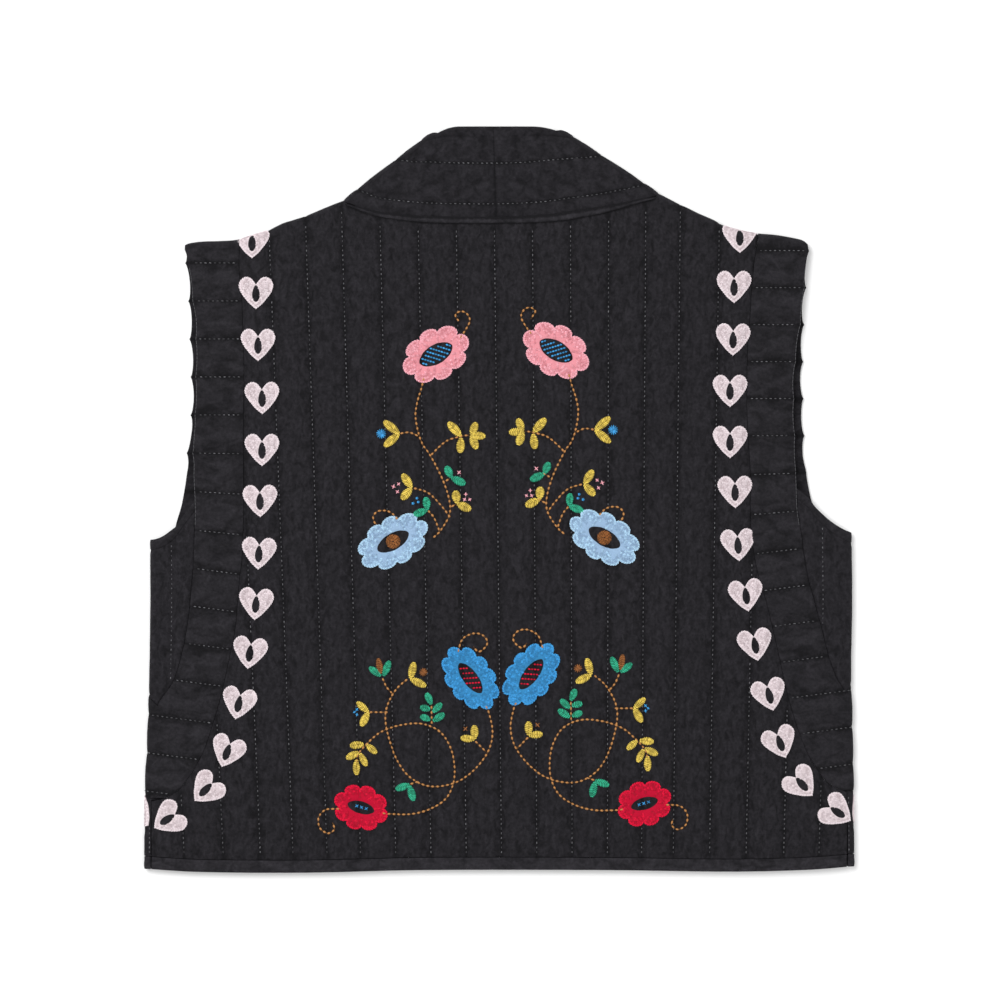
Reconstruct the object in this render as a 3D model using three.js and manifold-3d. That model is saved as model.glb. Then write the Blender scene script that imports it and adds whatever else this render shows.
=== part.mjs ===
// A quilted cotton waistcoat with a wide band collar, laid out flat on its fronts with its back up.
// Millimetres. X runs to the right over the back, Y from the hem up to the collar, and Z up from the table.
// The origin is on the table, under the middle of the waistcoat.
import * as THREE from "three";
import { mergeVertices } from "three/addons/utils/BufferGeometryUtils.js";
import Module from "manifold-3d";

const wasm = await Module();
wasm.setup();

// The cloth: two layers of gauze with a thin wadding between them, stitched together in rows
const FRONT_WALL = 3; // the fronts, pressed flat by the weight on them
const STITCHED_WALL = 2; // the back on a row of stitches
const PUFFED_WALL = 3.6; // the back half way between two rows
const LAYER_SPACE = 2; // the air between the fronts and the back
const SEAM_GAP = 0.3; // between two pieces that are sewn together
const COLOUR = 0x2b2a2d;

const mix = (a, b, share) => a + (b - a) * share;
const clamp = THREE.MathUtils.clamp;
const radians = (degrees) => THREE.MathUtils.degToRad(degrees);
const evenly = (from, to, steps) => Array.from({ length: steps + 1 }, (_, i) => mix(from, to, i / steps));

// A fold is a half round of cloth from the front layer up to the back layer
const FOLD_IN = LAYER_SPACE / 2;
const FOLD_OUT = FOLD_IN + FRONT_WALL;
const FOLD_Z = FOLD_OUT; // the height of its middle
const FOLD_TURNS = [90, 60, 30, 0, -30, -60, -90]; // degrees, from the back over the edge to the front
const FOLD_HALF_LENGTH = ((FOLD_IN + FOLD_OUT) / 2) * (Math.PI / 2);

// The rows of stitches on the back run up and down and draw together towards the hem
const CENTRE_BACK = -0.8;
const ROW_SPACING_TOP = 29.7;
const ROW_SPACING_HEM = 27.3;
const BACK_TOP = 240;
const BACK_BOTTOM = -292;

const NECK_END = { left: 121.4, right: 124.4 }; // where each shoulder ends at the collar
const SIDE_FLAP = 2; // the fronts come this far past the side fold to the side seam
const WEDGE_TURN = 16.3; // the height over which the front edge of a side panel goes round the fold
const WEDGE_END = 0.5; // the wedge ends this far above the point where the edges meet
const HEM_HEIGHT = 10;
const HEM_WALL = 3.4;
const UNDERARM_BINDING = 7.5; // the strip along the bottom of each armhole
const COLLAR_WIDTH = 70;
const CENTRE_FRONT_GAP = 0.8; // the two collar bands lie edge to edge
const NECK_BINDING_WALL = 3.8;

// Each side panel is a broad U round the armhole, quilted crosswise, from the front shoulder under the arm and up the
// back. seam is the distance from the centre line to its seam with the back and the front, edge to its free edge on
// the back, and under to its free edge on the front, which shows a little outside the back one.
const LEFT = {
  sign: -1,
  name: "left",
  sections: [
    { y: 201, seam: 201.6, edge: 244.3, under: 244.3 },
    { y: 180, seam: 202, edge: 241, under: 242.5 },
    { y: 156, seam: 200, edge: 238.1, under: 240.6 },
    { y: 134, seam: 199.2, edge: 235.6, under: 240 },
    { y: 100, seam: 198.2, edge: 235.5, under: 238.8 },
    { y: 64, seam: 198.6, edge: 236.2, under: 238.8 },
    { y: 46, seam: 198.9, edge: 237.6, under: 241 },
    { y: 17, seam: 198.6, edge: 237.2, under: 243.4 },
    { y: -4, seam: 198.4, edge: 236.3, under: 247 },
    { y: -20, seam: 198.8, edge: 236.4, under: 251.5 },
    { y: -40, seam: 199.4, edge: 237, under: 254 },
    { y: -66, seam: 202, edge: 238.6, under: 256 },
    { y: -100, seam: 205, edge: 242.4, under: 259 },
    { y: -128, seam: 210.6, edge: 248.4, under: 262 },
    { y: -144, seam: 214, edge: 254.6, under: 264 },
    { y: -160.3, seam: 218.2, edge: 265.2, under: 265.2 },
    { y: -193, seam: 228.6, edge: 266.2, under: 266.2 },
    { y: -209, seam: 236.6, edge: 266.6, under: 266.6 },
    { y: -221, seam: 245.2, edge: 267, under: 267 },
    { y: -227, seam: 250.6, edge: 267.2, under: 267.2 },
    { y: -232, seam: 259, edge: 267.4, under: 267.4 },
  ],
  apex: -160.3, // where the underarm wedge ends
  bottom: -232,
  shoulder: [
    { x: 120, y: 233.2 },
    { x: 135, y: 226.4 },
    { x: 147, y: 221.6 },
    { x: 159, y: 217.2 },
    { x: 171, y: 213.4 },
    { x: 182, y: 208.6 },
    { x: 194, y: 204.6 },
    { x: 205, y: 201.8 },
    { x: 217, y: 201 },
    { x: 230, y: 200.6 },
    { x: 241, y: 199.2 },
    { x: 245, y: 197.4 },
  ],
  silhouette: [
    { y: 202, x: 271.6 },
    { y: -31, x: 271.6 },
    { y: -80, x: 271.4 },
    { y: -155, x: 272.6 },
    { y: -190, x: 274 },
    { y: -235, x: 276 },
    { y: -292, x: 276.3 },
  ],
  // The bottom of the armhole: around is the way round the side fold, negative on the back
  armhole: [
    { around: -35.2, y: -1 },
    { around: -25, y: -14.4 },
    { around: -18.6, y: -23 },
    { around: -11, y: -28.4 },
    { around: -3.4, y: -31 },
    { around: 3, y: -31 },
    { around: 10, y: -28.4 },
    { around: 19.6, y: -21.4 },
  ],
  wedgeRows: [-17, 17], // its rows of stitches, the way round the fold
  firstRow: 183.6, // the first crosswise row of stitches below the shoulder
  rowSpacing: 29.5,
};
const RIGHT = {
  sign: 1,
  name: "right",
  sections: [
    { y: 206, seam: 201.6, edge: 240, under: 240 },
    { y: 190, seam: 198.6, edge: 239.1, under: 239.6 },
    { y: 164, seam: 196, edge: 236.5, under: 237.4 },
    { y: 143, seam: 194.6, edge: 234.4, under: 236 },
    { y: 122, seam: 193, edge: 231.6, under: 235.4 },
    { y: 95, seam: 192.2, edge: 228.7, under: 234.8 },
    { y: 67, seam: 192.3, edge: 228.6, under: 235.6 },
    { y: 40, seam: 193.8, edge: 229.6, under: 236.4 },
    { y: 15, seam: 195, edge: 230.5, under: 239.4 },
    { y: -9, seam: 194.8, edge: 231.5, under: 244.4 },
    { y: -31, seam: 196.2, edge: 234.9, under: 248 },
    { y: -54, seam: 200, edge: 238, under: 251 },
    { y: -81, seam: 207.6, edge: 244.9, under: 255 },
    { y: -101, seam: 212.4, edge: 250.3, under: 259 },
    { y: -120, seam: 216.7, edge: 255, under: 263 },
    { y: -138, seam: 220.6, edge: 261.4, under: 266.4 },
    { y: -151.4, seam: 223.8, edge: 269, under: 269 },
    { y: -178, seam: 231.7, edge: 269.6, under: 269.6 },
    { y: -199, seam: 240.3, edge: 270.2, under: 270.2 },
    { y: -212, seam: 248.5, edge: 270.4, under: 270.4 },
    { y: -220, seam: 255, edge: 270.6, under: 270.6 },
    { y: -226, seam: 265, edge: 270.6, under: 270.6 },
  ],
  apex: -151.4,
  bottom: -226,
  shoulder: [
    { x: 123, y: 238 },
    { x: 132, y: 233.2 },
    { x: 144, y: 227.7 },
    { x: 155, y: 221.8 },
    { x: 167, y: 217 },
    { x: 178, y: 211.6 },
    { x: 190, y: 208.4 },
    { x: 202, y: 206.8 },
    { x: 214, y: 205.8 },
    { x: 225, y: 204 },
    { x: 236, y: 201.4 },
    { x: 240, y: 198 },
  ],
  silhouette: [
    { y: 206, x: 274 },
    { y: -26, x: 274 },
    { y: -80, x: 274.4 },
    { y: -135, x: 273.6 },
    { y: -190, x: 275 },
    { y: -245, x: 276 },
    { y: -292, x: 276.3 },
  ],
  armhole: [
    { around: -43, y: 8.6 },
    { around: -34, y: 1.5 },
    { around: -28.6, y: -5.8 },
    { around: -16.4, y: -17 },
    { around: -4, y: -24.4 },
    { around: 3, y: -26 },
    { around: 12, y: -22.6 },
    { around: 26, y: -12.4 },
  ],
  wedgeRows: [-23, 19],
  firstRow: 193.2,
  rowSpacing: 28.7,
};

// The seam line of the back of the neck: below is the lower edge of the binding on it, above the upper one
const NECK_LINE = [
  { x: -118.4, below: 228.2, above: 229.8 },
  { x: -109, below: 224.2, above: 227 },
  { x: -98, below: 220.3, above: 224.2 },
  { x: -73, below: 216.2, above: 221 },
  { x: -48, below: 214.4, above: 219.7 },
  { x: 0, below: 214.2, above: 219.4 },
  { x: 36, below: 215.2, above: 221.2 },
  { x: 62, below: 218.2, above: 224.8 },
  { x: 87, below: 223.6, above: 228.6 },
  { x: 109, below: 230, above: 233.2 },
  { x: 121.6, below: 233.4, above: 234.9 },
];
// The hem, slightly uneven as it lies
const HEM_LINE = [
  { x: -277, y: -286.6 },
  { x: -235, y: -289.2 },
  { x: -150, y: -289.8 },
  { x: -60, y: -287.8 },
  { x: 80, y: -287.8 },
  { x: 180, y: -289 },
  { x: 240, y: -287.6 },
  { x: 277, y: -284.6 },
];
// Each half of the collar folds over to the front along a sloping line, from the end of the shoulder to the top
const COLLAR_TOP = 289.8;
const COLLAR_FOLDS = {
  left: { low: [-121, 233.4], high: [-54, 284.8] },
  right: { low: [124, 238.6], high: [50.5, 287] },
};
const COLLAR_EDGE_SHIFT = 5; // its free edge crosses the fold aslant, so it ends further up on the back
// The front run of the collar from the fold to the hem: out is the distance of its seam from the centre line,
// lean the slope of the band's width in degrees
const COLLAR_RUN = [
  { out: 116.6, y: 214, lean: 31, width: 78 },
  { out: 113, y: 195, lean: 26, width: 73 },
  { out: 107.6, y: 165, lean: 21, width: COLLAR_WIDTH },
  { out: 100, y: 130, lean: 17, width: COLLAR_WIDTH },
  { out: 91, y: 95, lean: 14, width: COLLAR_WIDTH },
  { out: 82, y: 60, lean: 10.5, width: COLLAR_WIDTH },
  { out: 75, y: 30, lean: 6, width: COLLAR_WIDTH },
  { out: 71.4, y: 5, lean: 2, width: COLLAR_WIDTH },
  { out: COLLAR_WIDTH + CENTRE_FRONT_GAP / 2, y: -20, lean: 0, width: COLLAR_WIDTH },
];
// Places across the band, from its seam to its free edge, and the rows of stitches along it
const COLLAR_ACROSS = [0, 0.08, 0.156, 0.27, 0.38, 0.49, 0.6, 0.7, 0.8, 0.89, 0.95, 1];
const COLLAR_ROWS = [0, 0.156, 0.6, 0.89, 1];

// A smooth line through a table's rows, read at any place: from is the column that is known, to the one wanted
function reading(table, from, to) {
  const rows = [...table].sort((a, b) => a[from] - b[from]);
  const last = rows.length - 1;
  return (at) => {
    const found = rows.findIndex((row) => row[from] > at);
    const i = clamp((found < 0 ? rows.length : found) - 1, 0, last - 1);
    const [p, q] = [rows[i], rows[i + 1]];
    const before = rows[Math.max(i - 1, 0)];
    const after = rows[Math.min(i + 2, last)];
    const step = q[from] - p[from];
    const share = clamp((at - p[from]) / step, 0, 1);
    const slopeIn = ((q[to] - before[to]) / (q[from] - before[from])) * step;
    const slopeOut = ((after[to] - p[to]) / (after[from] - p[from])) * step;
    const [s2, s3] = [share ** 2, share ** 3];
    return (
      (2 * s3 - 3 * s2 + 1) * p[to] +
      (s3 - 2 * s2 + share) * slopeIn +
      (3 * s2 - 2 * s3) * q[to] +
      (s3 - s2) * slopeOut
    );
  };
}

const neckBelow = reading(NECK_LINE, "x", "below");
const neckAbove = reading(NECK_LINE, "x", "above");
const hemAt = reading(HEM_LINE, "x", "y");
const hemSeamAt = (x) => hemAt(x) + HEM_HEIGHT;

// A line of [across, up] points moved sideways, to the right of the way it runs
function besideLine(line, by) {
  return line.map(([x, y], i) => {
    const into = new THREE.Vector2(x, y).sub(new THREE.Vector2(...line[Math.max(i - 1, 0)])).normalize();
    const onward = new THREE.Vector2(...line[Math.min(i + 1, line.length - 1)]).sub({ x, y }).normalize();
    const along = into.clone().add(onward).normalize();
    const reach = by / along.dot(i > 0 ? into : onward);
    return [x + along.y * reach, y - along.x * reach];
  });
}

// How far the cloth puffs up between two rows of stitches, from 0 on a row to 1 half way
const puff = (share) => Math.sin(Math.PI * (share - Math.floor(share)));
const quilted = (share) => mix(STITCHED_WALL, PUFFED_WALL, puff(share));

// A place on the cloth. (x, y) is where it lies, or the middle of the fold that it goes round; turn says how far
// round, and out is the level direction that the fold faces.
function place(x, y, turn, wall = FRONT_WALL, out = [0, 1]) {
  const level = Math.cos(radians(turn));
  const rise = Math.sin(radians(turn));
  const thickness = mix(FRONT_WALL, wall, (turn + 90) / 180);
  const from = new THREE.Vector3(x, y, FOLD_Z);
  const at = (reach) => from.clone().add(new THREE.Vector3(out[0] * level, out[1] * level, rise).multiplyScalar(reach));
  return { inner: at(FOLD_IN), outer: at(FOLD_IN + thickness) };
}

// A place by its way round a side fold: around is 0 on the fold's edge and negative on the back
const turnAt = (around) => -90 * clamp(around / FOLD_HALF_LENGTH, -1, 1);
const foldAround = FOLD_TURNS.map((turn) => (-turn / 90) * FOLD_HALF_LENGTH);
const aroundOf = (side, distance, y) => FOLD_HALF_LENGTH + side.silhouetteAt(y) - FOLD_OUT - distance;
function sidePlace(side, around, y, wall) {
  const past = Math.max(Math.abs(around) - FOLD_HALF_LENGTH, 0);
  const x = side.sign * (side.silhouetteAt(y) - FOLD_OUT - past);
  return place(x, y, turnAt(around), wall, [side.sign, 0]);
}

for (const side of [LEFT, RIGHT]) {
  side.seamAt = reading(side.sections, "y", "seam");
  side.edgeAt = reading(side.sections, "y", "edge");
  side.underAt = reading(side.sections, "y", "under");
  side.shoulderAt = reading(side.shoulder, "x", "y");
  side.silhouetteAt = reading(side.silhouette, "y", "x");
  side.armholeAt = reading(side.armhole, "around", "y");
  side.foldMiddle = (y) => side.silhouetteAt(y) - FOLD_OUT;

  // The free edges of the side panel by their way round: they meet at the point of the underarm wedge
  const point = -aroundOf(side, side.edgeAt(side.apex), side.apex);
  const turnFrom = side.apex + WEDGE_TURN;
  const underFrom = aroundOf(side, side.underAt(turnFrom), turnFrom);
  side.backEdge = (y) => -aroundOf(side, side.edgeAt(Math.max(y, side.apex)), Math.max(y, side.apex));
  side.frontEdge = (y) => {
    if (y >= turnFrom) return aroundOf(side, side.underAt(y), y);
    return mix(underFrom, point, Math.min((turnFrom - y) / WEDGE_TURN, 1));
  };

  // Heights of the places along the side panel: three to each row of stitches, and closer where the front edge
  // goes round the fold to the point
  const top = side.shoulderAt(side.seamAt(side.sections[0].y - FOLD_OUT)) - FOLD_OUT;
  const open = side.shoulderAt(side.sections[0].edge) - FOLD_OUT;
  const regular = evenly(2, -50, 52).map((row) => side.firstRow + (row * side.rowSpacing) / 3);
  const closer = foldAround.map((around) => turnFrom - (WEDGE_TURN * (around - underFrom)) / (point - underFrom));
  const special = [...side.sections.slice(-4).map((section) => section.y), turnFrom, ...closer, side.apex];
  const clear = (y) => special.every((other) => Math.abs(y - other) > 4);
  const kept = regular.filter((y) => y < open - 2 && y > side.bottom && clear(y));
  side.levels = [top, ...[...kept, ...special].sort((a, b) => b - a)];
  side.apexLevel = side.levels.indexOf(side.apex);
  side.seamLine = [...side.levels.map((y) => [side.seamAt(y), y]), [side.foldMiddle(side.bottom), side.bottom]];

  // The fold of the collar, a little inside its silhouette, and the seam of its front run
  const fold = COLLAR_FOLDS[side.name];
  const slope = new THREE.Vector2(...fold.high).sub(new THREE.Vector2(...fold.low)).normalize();
  side.foldOut = [side.sign * Math.abs(slope.y), Math.abs(slope.x)];
  const inward = ([x, y]) => [x - side.foldOut[0] * FOLD_OUT, y - side.foldOut[1] * FOLD_OUT];
  side.foldLow = inward(fold.low);
  const foldHigh = inward(fold.high);
  side.foldHigh = (turn) => foldHigh.map((v, i) => v + (slope.toArray()[i] * COLLAR_EDGE_SHIFT * turn) / 90);
  const last = COLLAR_RUN.at(-1).out;
  side.collarLine = [
    [Math.abs(side.foldLow[0]), side.foldLow[1]],
    ...COLLAR_RUN.map((at) => [at.out, at.y]),
    [last, -150],
    [last, hemAt(side.sign * last)],
  ];
}

// A closed wall of cloth, put together from grids of places
class Cloth {
  corners = [];

  quad(a, b, c, d) {
    this.corners.push(a, b, c, a, c, d);
  }

  // Both faces of the cloth over rows of places
  faces(rows) {
    for (let r = 0; r + 1 < rows.length; r++) {
      for (let c = 0; c + 1 < rows[r].length; c++) {
        const [a, b] = [rows[r][c], rows[r][c + 1]];
        const [d, e] = [rows[r + 1][c], rows[r + 1][c + 1]];
        this.quad(a.outer, b.outer, e.outer, d.outer);
        this.quad(a.inner, d.inner, e.inner, b.inner);
      }
    }
  }

  // The cut edge along a line of places: the first row, the last column, the last row back or the first column up
  edge(line) {
    for (let i = 0; i + 1 < line.length; i++) {
      this.quad(line[i + 1].outer, line[i].outer, line[i].inner, line[i + 1].inner);
    }
  }

  // A whole sheet with its four edges
  sheet(rows) {
    this.faces(rows);
    this.edge(rows[0]);
    this.edge(rows.map((row) => row.at(-1)));
    this.edge([...rows.at(-1)].reverse());
    this.edge(rows.map((row) => row[0]).reverse());
    return this;
  }

  // Places that fall together leave triangles with no area, which are dropped
  geometry() {
    const merged = mergeVertices(new THREE.BufferGeometry().setFromPoints(this.corners), 1e-3);
    const index = merged.index.array;
    const position = merged.attributes.position;
    const corner = (i) => new THREE.Vector3().fromBufferAttribute(position, index[i]);
    const kept = [];
    let volume = 0;
    for (let i = 0; i < index.length; i += 3) {
      const [a, b, c] = index.slice(i, i + 3);
      if (a === b || b === c || c === a) continue;
      kept.push([a, b, c]);
      volume += corner(i).dot(corner(i + 1).cross(corner(i + 2)));
    }
    return merged.setIndex(kept.flatMap(([a, b, c]) => (volume < 0 ? [a, c, b] : [a, b, c])));
  }
}

// three.js geometry to a solid for cutting and joining, and back
function solid(geometry) {
  const bare = new THREE.BufferGeometry().setAttribute("position", geometry.getAttribute("position"));
  if (geometry.index) bare.setIndex(geometry.index);
  const merged = mergeVertices(bare, 1e-3);
  return new wasm.Manifold(
    new wasm.Mesh({
      numProp: 3,
      vertProperties: merged.attributes.position.array,
      triVerts: new Uint32Array(merged.index.array),
    }),
  );
}

function geometryOf(made) {
  const mesh = made.getMesh();
  return new THREE.BufferGeometry()
    .setAttribute("position", new THREE.BufferAttribute(new Float32Array(mesh.vertProperties), 3))
    .setIndex(new THREE.BufferAttribute(new Uint32Array(mesh.triVerts), 1));
}

// A flat cut from an outline of [x, y] points, between two heights
function cut(outline, low, high) {
  const shape = new THREE.Shape(outline.map(([x, y]) => new THREE.Vector2(x, y)));
  const block = new THREE.ExtrudeGeometry(shape, { depth: high - low, bevelEnabled: false });
  return solid(block.translate(0, 0, low));
}

const mirrored = (side, line) => line.map(([x, y]) => [side.sign * x, y]);

// A roll runs a little way into the flat wall that it is joined to
const INTO_WALL = 0.6;
const shifted = (row, x, y) =>
  row.map(({ inner, outer }) => ({
    inner: inner.clone().add({ x, y, z: 0 }),
    outer: outer.clone().add({ x, y, z: 0 }),
  }));

// The back, quilted up and down, before it is cut to its outline
function quiltedBack() {
  const rowX = (row, y) => {
    const share = (y - BACK_BOTTOM) / (BACK_TOP - BACK_BOTTOM);
    return CENTRE_BACK + row * mix(ROW_SPACING_HEM, ROW_SPACING_TOP, share);
  };
  const acrossChannel = [0, 0.17, 0.5, 0.83];
  const places = evenly(-11, 10, 21).flatMap((row) => acrossChannel.map((share) => row + share));
  const line = (y) => places.map((row) => place(rowX(row, y), y, 90, quilted(row)));
  return solid(new Cloth().sheet([line(BACK_BOTTOM), line(BACK_TOP)]).geometry());
}

// The back is cut round the neck, along the shoulders, down the side panels and across above the hem strip. Its
// shoulders roll over to the fronts.
function backPanel() {
  const runs = [LEFT, RIGHT].map((side) => {
    const seam = besideLine(side.seamLine, SEAM_GAP / 2);
    const corner = side.foldMiddle(side.bottom) - SIDE_FLAP;
    const shoulder = evenly(NECK_END[side.name], seam[0][0], 8).map((x) => [x, side.shoulderAt(x) - FOLD_OUT]);
    const sideEdge = [
      [corner, seam.at(-1)[1]],
      [corner, hemSeamAt(side.sign * corner) + SEAM_GAP / 2],
    ];
    return mirrored(side, [...shoulder, ...seam.slice(1, -1), ...sideEdge]);
  });
  const [left, right] = runs;
  const hem = evenly(right.at(-1)[0], left.at(-1)[0], 16).slice(1, -1);
  const neck = evenly(left[0][0], right[0][0], 26).slice(1, -1);
  const outline = [
    ...right,
    ...hem.map((x) => [x, hemSeamAt(x) + SEAM_GAP / 2]),
    ...left.reverse(),
    ...neck.map((x) => [x, neckBelow(x) - SEAM_GAP / 2]),
  ];
  let made = quiltedBack().intersect(cut(outline, 0, 20));
  for (const side of [LEFT, RIGHT]) {
    const end = besideLine(side.seamLine, SEAM_GAP / 2)[0][0];
    const roll = FOLD_TURNS.map((turn) =>
      evenly(NECK_END[side.name], end, 8).map((x) => place(side.sign * x, side.shoulderAt(x) - FOLD_OUT, turn)),
    );
    const rows = [shifted(roll[0], 0, -INTO_WALL), ...roll];
    made = made.add(solid(new Cloth().sheet(rows).geometry()));
  }
  return geometryOf(made);
}

// A front: flat on the table, with a roll up to the side seam below the side panel
function frontPanel(side) {
  const seam = besideLine(side.seamLine, SEAM_GAP / 2);
  const shoulderEdge = (x) => side.shoulderAt(x) - FOLD_OUT - SEAM_GAP;
  const shoulder = evenly(NECK_END[side.name], seam[0][0], 8).map((x) => [x, shoulderEdge(x)]);
  const hemEnd = side.collarLine.at(-1)[0] + SEAM_GAP;
  const hemX = side.foldMiddle(side.bottom);
  const hem = evenly(hemX, hemEnd, 8).map((x) => [x, hemSeamAt(side.sign * x) + SEAM_GAP / 2]);
  const collar = besideLine(side.collarLine, -SEAM_GAP).slice(0, -1).reverse();
  const low = collar.at(-2);
  const high = collar.pop();
  const share = (shoulder[0][1] - low[1]) / (high[1] - low[1]);
  collar.push([mix(low[0], high[0], share), shoulder[0][1]]);
  const outline = [...shoulder, ...seam.slice(1), ...hem, ...collar];
  const wall = cut(mirrored(side, outline), 0, FRONT_WALL);
  const s = side.sign;
  const [top, bottom] = [seam.at(-1)[1], hem[0][1]];
  const roll = FOLD_TURNS.map((turn) =>
    evenly(top, bottom, 3).map((y) => place(s * side.foldMiddle(y), y, turn, FRONT_WALL, [s, 0])),
  );
  const flap = shifted(roll[0], -s * (SIDE_FLAP - SEAM_GAP), 0);
  const rows = [flap, ...roll, shifted(roll.at(-1), -s * INTO_WALL, 0)];
  return geometryOf(wall.add(solid(new Cloth().sheet(rows).geometry())));
}

// A side panel in one piece: up the back of the armhole, over the shoulder, down the front of it, and round the
// side fold under the arm, where its two halves join
function sidePanel(side) {
  const s = side.sign;
  const seam = besideLine(side.seamLine, -SEAM_GAP / 2);
  const last = side.levels.length - 1;
  const outward = [0.2, 0.4, 0.6, 0.8, 1];
  const row = (i, sense) => {
    const level = i < last ? side.levels[i] : side.bottom + SEAM_GAP / 2;
    const [seamDistance, seamY] = seam[i];
    const open = sense < 0 ? side.backEdge(level) : side.frontEdge(level);
    const start = sense < 0 ? open : Math.max(open, FOLD_HALF_LENGTH);
    const end = sense * aroundOf(side, seamDistance, seamY);
    const columns = [
      { around: open, share: 0 },
      ...foldAround.map((around) => ({ around: sense < 0 ? open : Math.max(open, around), share: 0 })),
      ...outward.map((share) => ({ around: mix(start, end, share), share })),
    ];
    return columns.map(({ around, share }) => {
      const y = mix(level, seamY, share);
      return sidePlace(side, around, y, quilted((side.firstRow - y) / side.rowSpacing));
    });
  };
  const shoulder = (turn) =>
    row(0, -1).map(({ inner }) => {
      const x = Math.abs(inner.x);
      return place(s * x, side.shoulderAt(x) - FOLD_OUT, turn);
    });
  const down = side.levels.map((_, i) => i).slice(1);
  const rows = [
    ...down.toReversed().map((i) => row(i, -1)),
    ...FOLD_TURNS.map(shoulder),
    ...down.map((i) => row(i, 1)),
  ];
  const backApex = last - side.apexLevel;
  const frontApex = rows.length - 1 - backApex;
  const cloth = new Cloth();
  cloth.faces(rows);
  cloth.edge(rows[0]);
  cloth.edge(rows.map((places) => places.at(-1)));
  cloth.edge([...rows.at(-1)].reverse());
  cloth.edge(rows.slice(backApex, frontApex + 1).map((places) => places[0]).reverse());
  return cloth.geometry();
}

// Rows of places under the arm, each a given depth below the armhole or at a set height, and each kept between the
// free edges of the side panel
function underarmRows(side, depth, heights, wall) {
  const top = (around) => side.armholeAt(around) - depth;
  const corner = (edge, inside, start) => {
    let around = start;
    for (let pass = 0; pass < 30; pass++) around = edge(top(around)) + inside;
    return { around, y: top(around) };
  };
  const back = corner(side.backEdge, SEAM_GAP, side.armhole[0].around);
  const front = corner(side.frontEdge, -SEAM_GAP, side.armhole.at(-1).around);
  return heights.map((height) => {
    const low = side.backEdge(Math.min(height, back.y)) + SEAM_GAP;
    const high = side.frontEdge(Math.min(height, front.y)) - SEAM_GAP;
    const tip = (low + high) / 2;
    return UNDERARM_ACROSS.map((at) => {
      const around = low < high ? clamp(at, low, high) : tip;
      const y = Math.min(height, top(around));
      return sidePlace(side, around, y, wall(around));
    });
  });
}
const UNDERARM_ACROSS = [-50, -36, -29, -23, -17, -12, -7.5, ...foldAround, 8, 12.5, 17, 22, 40];

// The wedge under the arm, folded round the side from the armhole down to its point
function wedge(side) {
  const [first, second] = side.wedgeRows;
  const heights = [BACK_TOP, ...side.levels.filter((y) => y > side.apex && y < 0), side.apex + WEDGE_END];
  const wall = (around) => quilted((around - first) / (second - first));
  const rows = underarmRows(side, UNDERARM_BINDING + SEAM_GAP, heights, wall);
  return new Cloth().sheet(rows).geometry();
}

// The strip along the bottom of the armhole, on the upper edge of the wedge
function underarmBinding(side) {
  const rows = [0, 0.5, 1].map((down) => {
    const wall = mix(2.6, 3.2, puff(down));
    return underarmRows(side, down * UNDERARM_BINDING, [BACK_TOP], () => wall)[0];
  });
  return new Cloth().sheet(rows).geometry();
}

// Half of the collar: from the centre back over the sloping fold and down the front to the hem
function collar(side) {
  const s = side.sign;
  const start = CENTRE_BACK + (s * SEAM_GAP) / 2;
  const collarWall = (share) => {
    const row = COLLAR_ROWS.findLastIndex((edge) => edge <= share && edge < 1);
    return quilted((share - COLLAR_ROWS[row]) / (COLLAR_ROWS[row + 1] - COLLAR_ROWS[row]));
  };
  const band = (seam, edge, turn) =>
    COLLAR_ACROSS.map((share) =>
      place(mix(seam[0], edge[0], share), mix(seam[1], edge[1], share), turn, collarWall(share), side.foldOut),
    );
  const onBack = evenly(0, 1, 9).map((along) => {
    const seamX = mix(start, side.foldLow[0], along);
    const seam = along < 1 ? [seamX, neckAbove(seamX) + SEAM_GAP] : side.foldLow;
    const [endX, endY] = side.foldHigh(90);
    const fall = (Math.max(along - 0.6, 0) / 0.4) ** 2;
    return band(seam, [mix(start, endX, along), mix(COLLAR_TOP, endY, fall)], 90);
  });
  const overFold = FOLD_TURNS.slice(1).map((turn) => band(side.foldLow, side.foldHigh(turn), turn));
  const run = COLLAR_RUN.map(({ out, y, lean, width }) => {
    const edgeOut = Math.max(out - width * Math.cos(radians(lean)), CENTRE_FRONT_GAP / 2);
    return band([s * out, y], [s * edgeOut, y + width * Math.sin(radians(lean))], -90);
  });
  const straight = [-150, null].map((y) => {
    const ends = [COLLAR_RUN.at(-1).out, CENTRE_FRONT_GAP / 2].map((x) => [s * x, y ?? hemAt(s * x)]);
    return band(ends[0], ends[1], -90);
  });
  return new Cloth().sheet([...onBack, ...overFold, ...run, ...straight]).geometry();
}

// The narrow strip that covers the neck seam, between the back and the collar
function neckBinding() {
  const rows = [0, 0.5, 1].map((up) =>
    evenly(NECK_LINE[0].x, NECK_LINE.at(-1).x, 40).map((x) => {
      const y = mix(neckBelow(x) + SEAM_GAP / 2, neckAbove(x), up);
      return place(x, y, 90, mix(STITCHED_WALL + 0.8, NECK_BINDING_WALL, puff(up)));
    }),
  );
  return new Cloth().sheet(rows).geometry();
}

// The hem strip of the back, between the two side seams
function backHem() {
  const [left, right] = [LEFT, RIGHT].map((side) => side.foldMiddle(side.bottom) - SIDE_FLAP);
  const rows = [
    { up: 1, wall: 2.4 },
    { up: 0.75, wall: HEM_WALL },
    { up: 0.2, wall: HEM_WALL },
    { up: 0, wall: 2.2 },
  ].map(({ up, wall }) =>
    evenly(-left, right, 24).map((x) => place(x, hemAt(x) + up * (HEM_HEIGHT - SEAM_GAP / 2), 90, wall)),
  );
  return new Cloth().sheet(rows).geometry();
}

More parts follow.
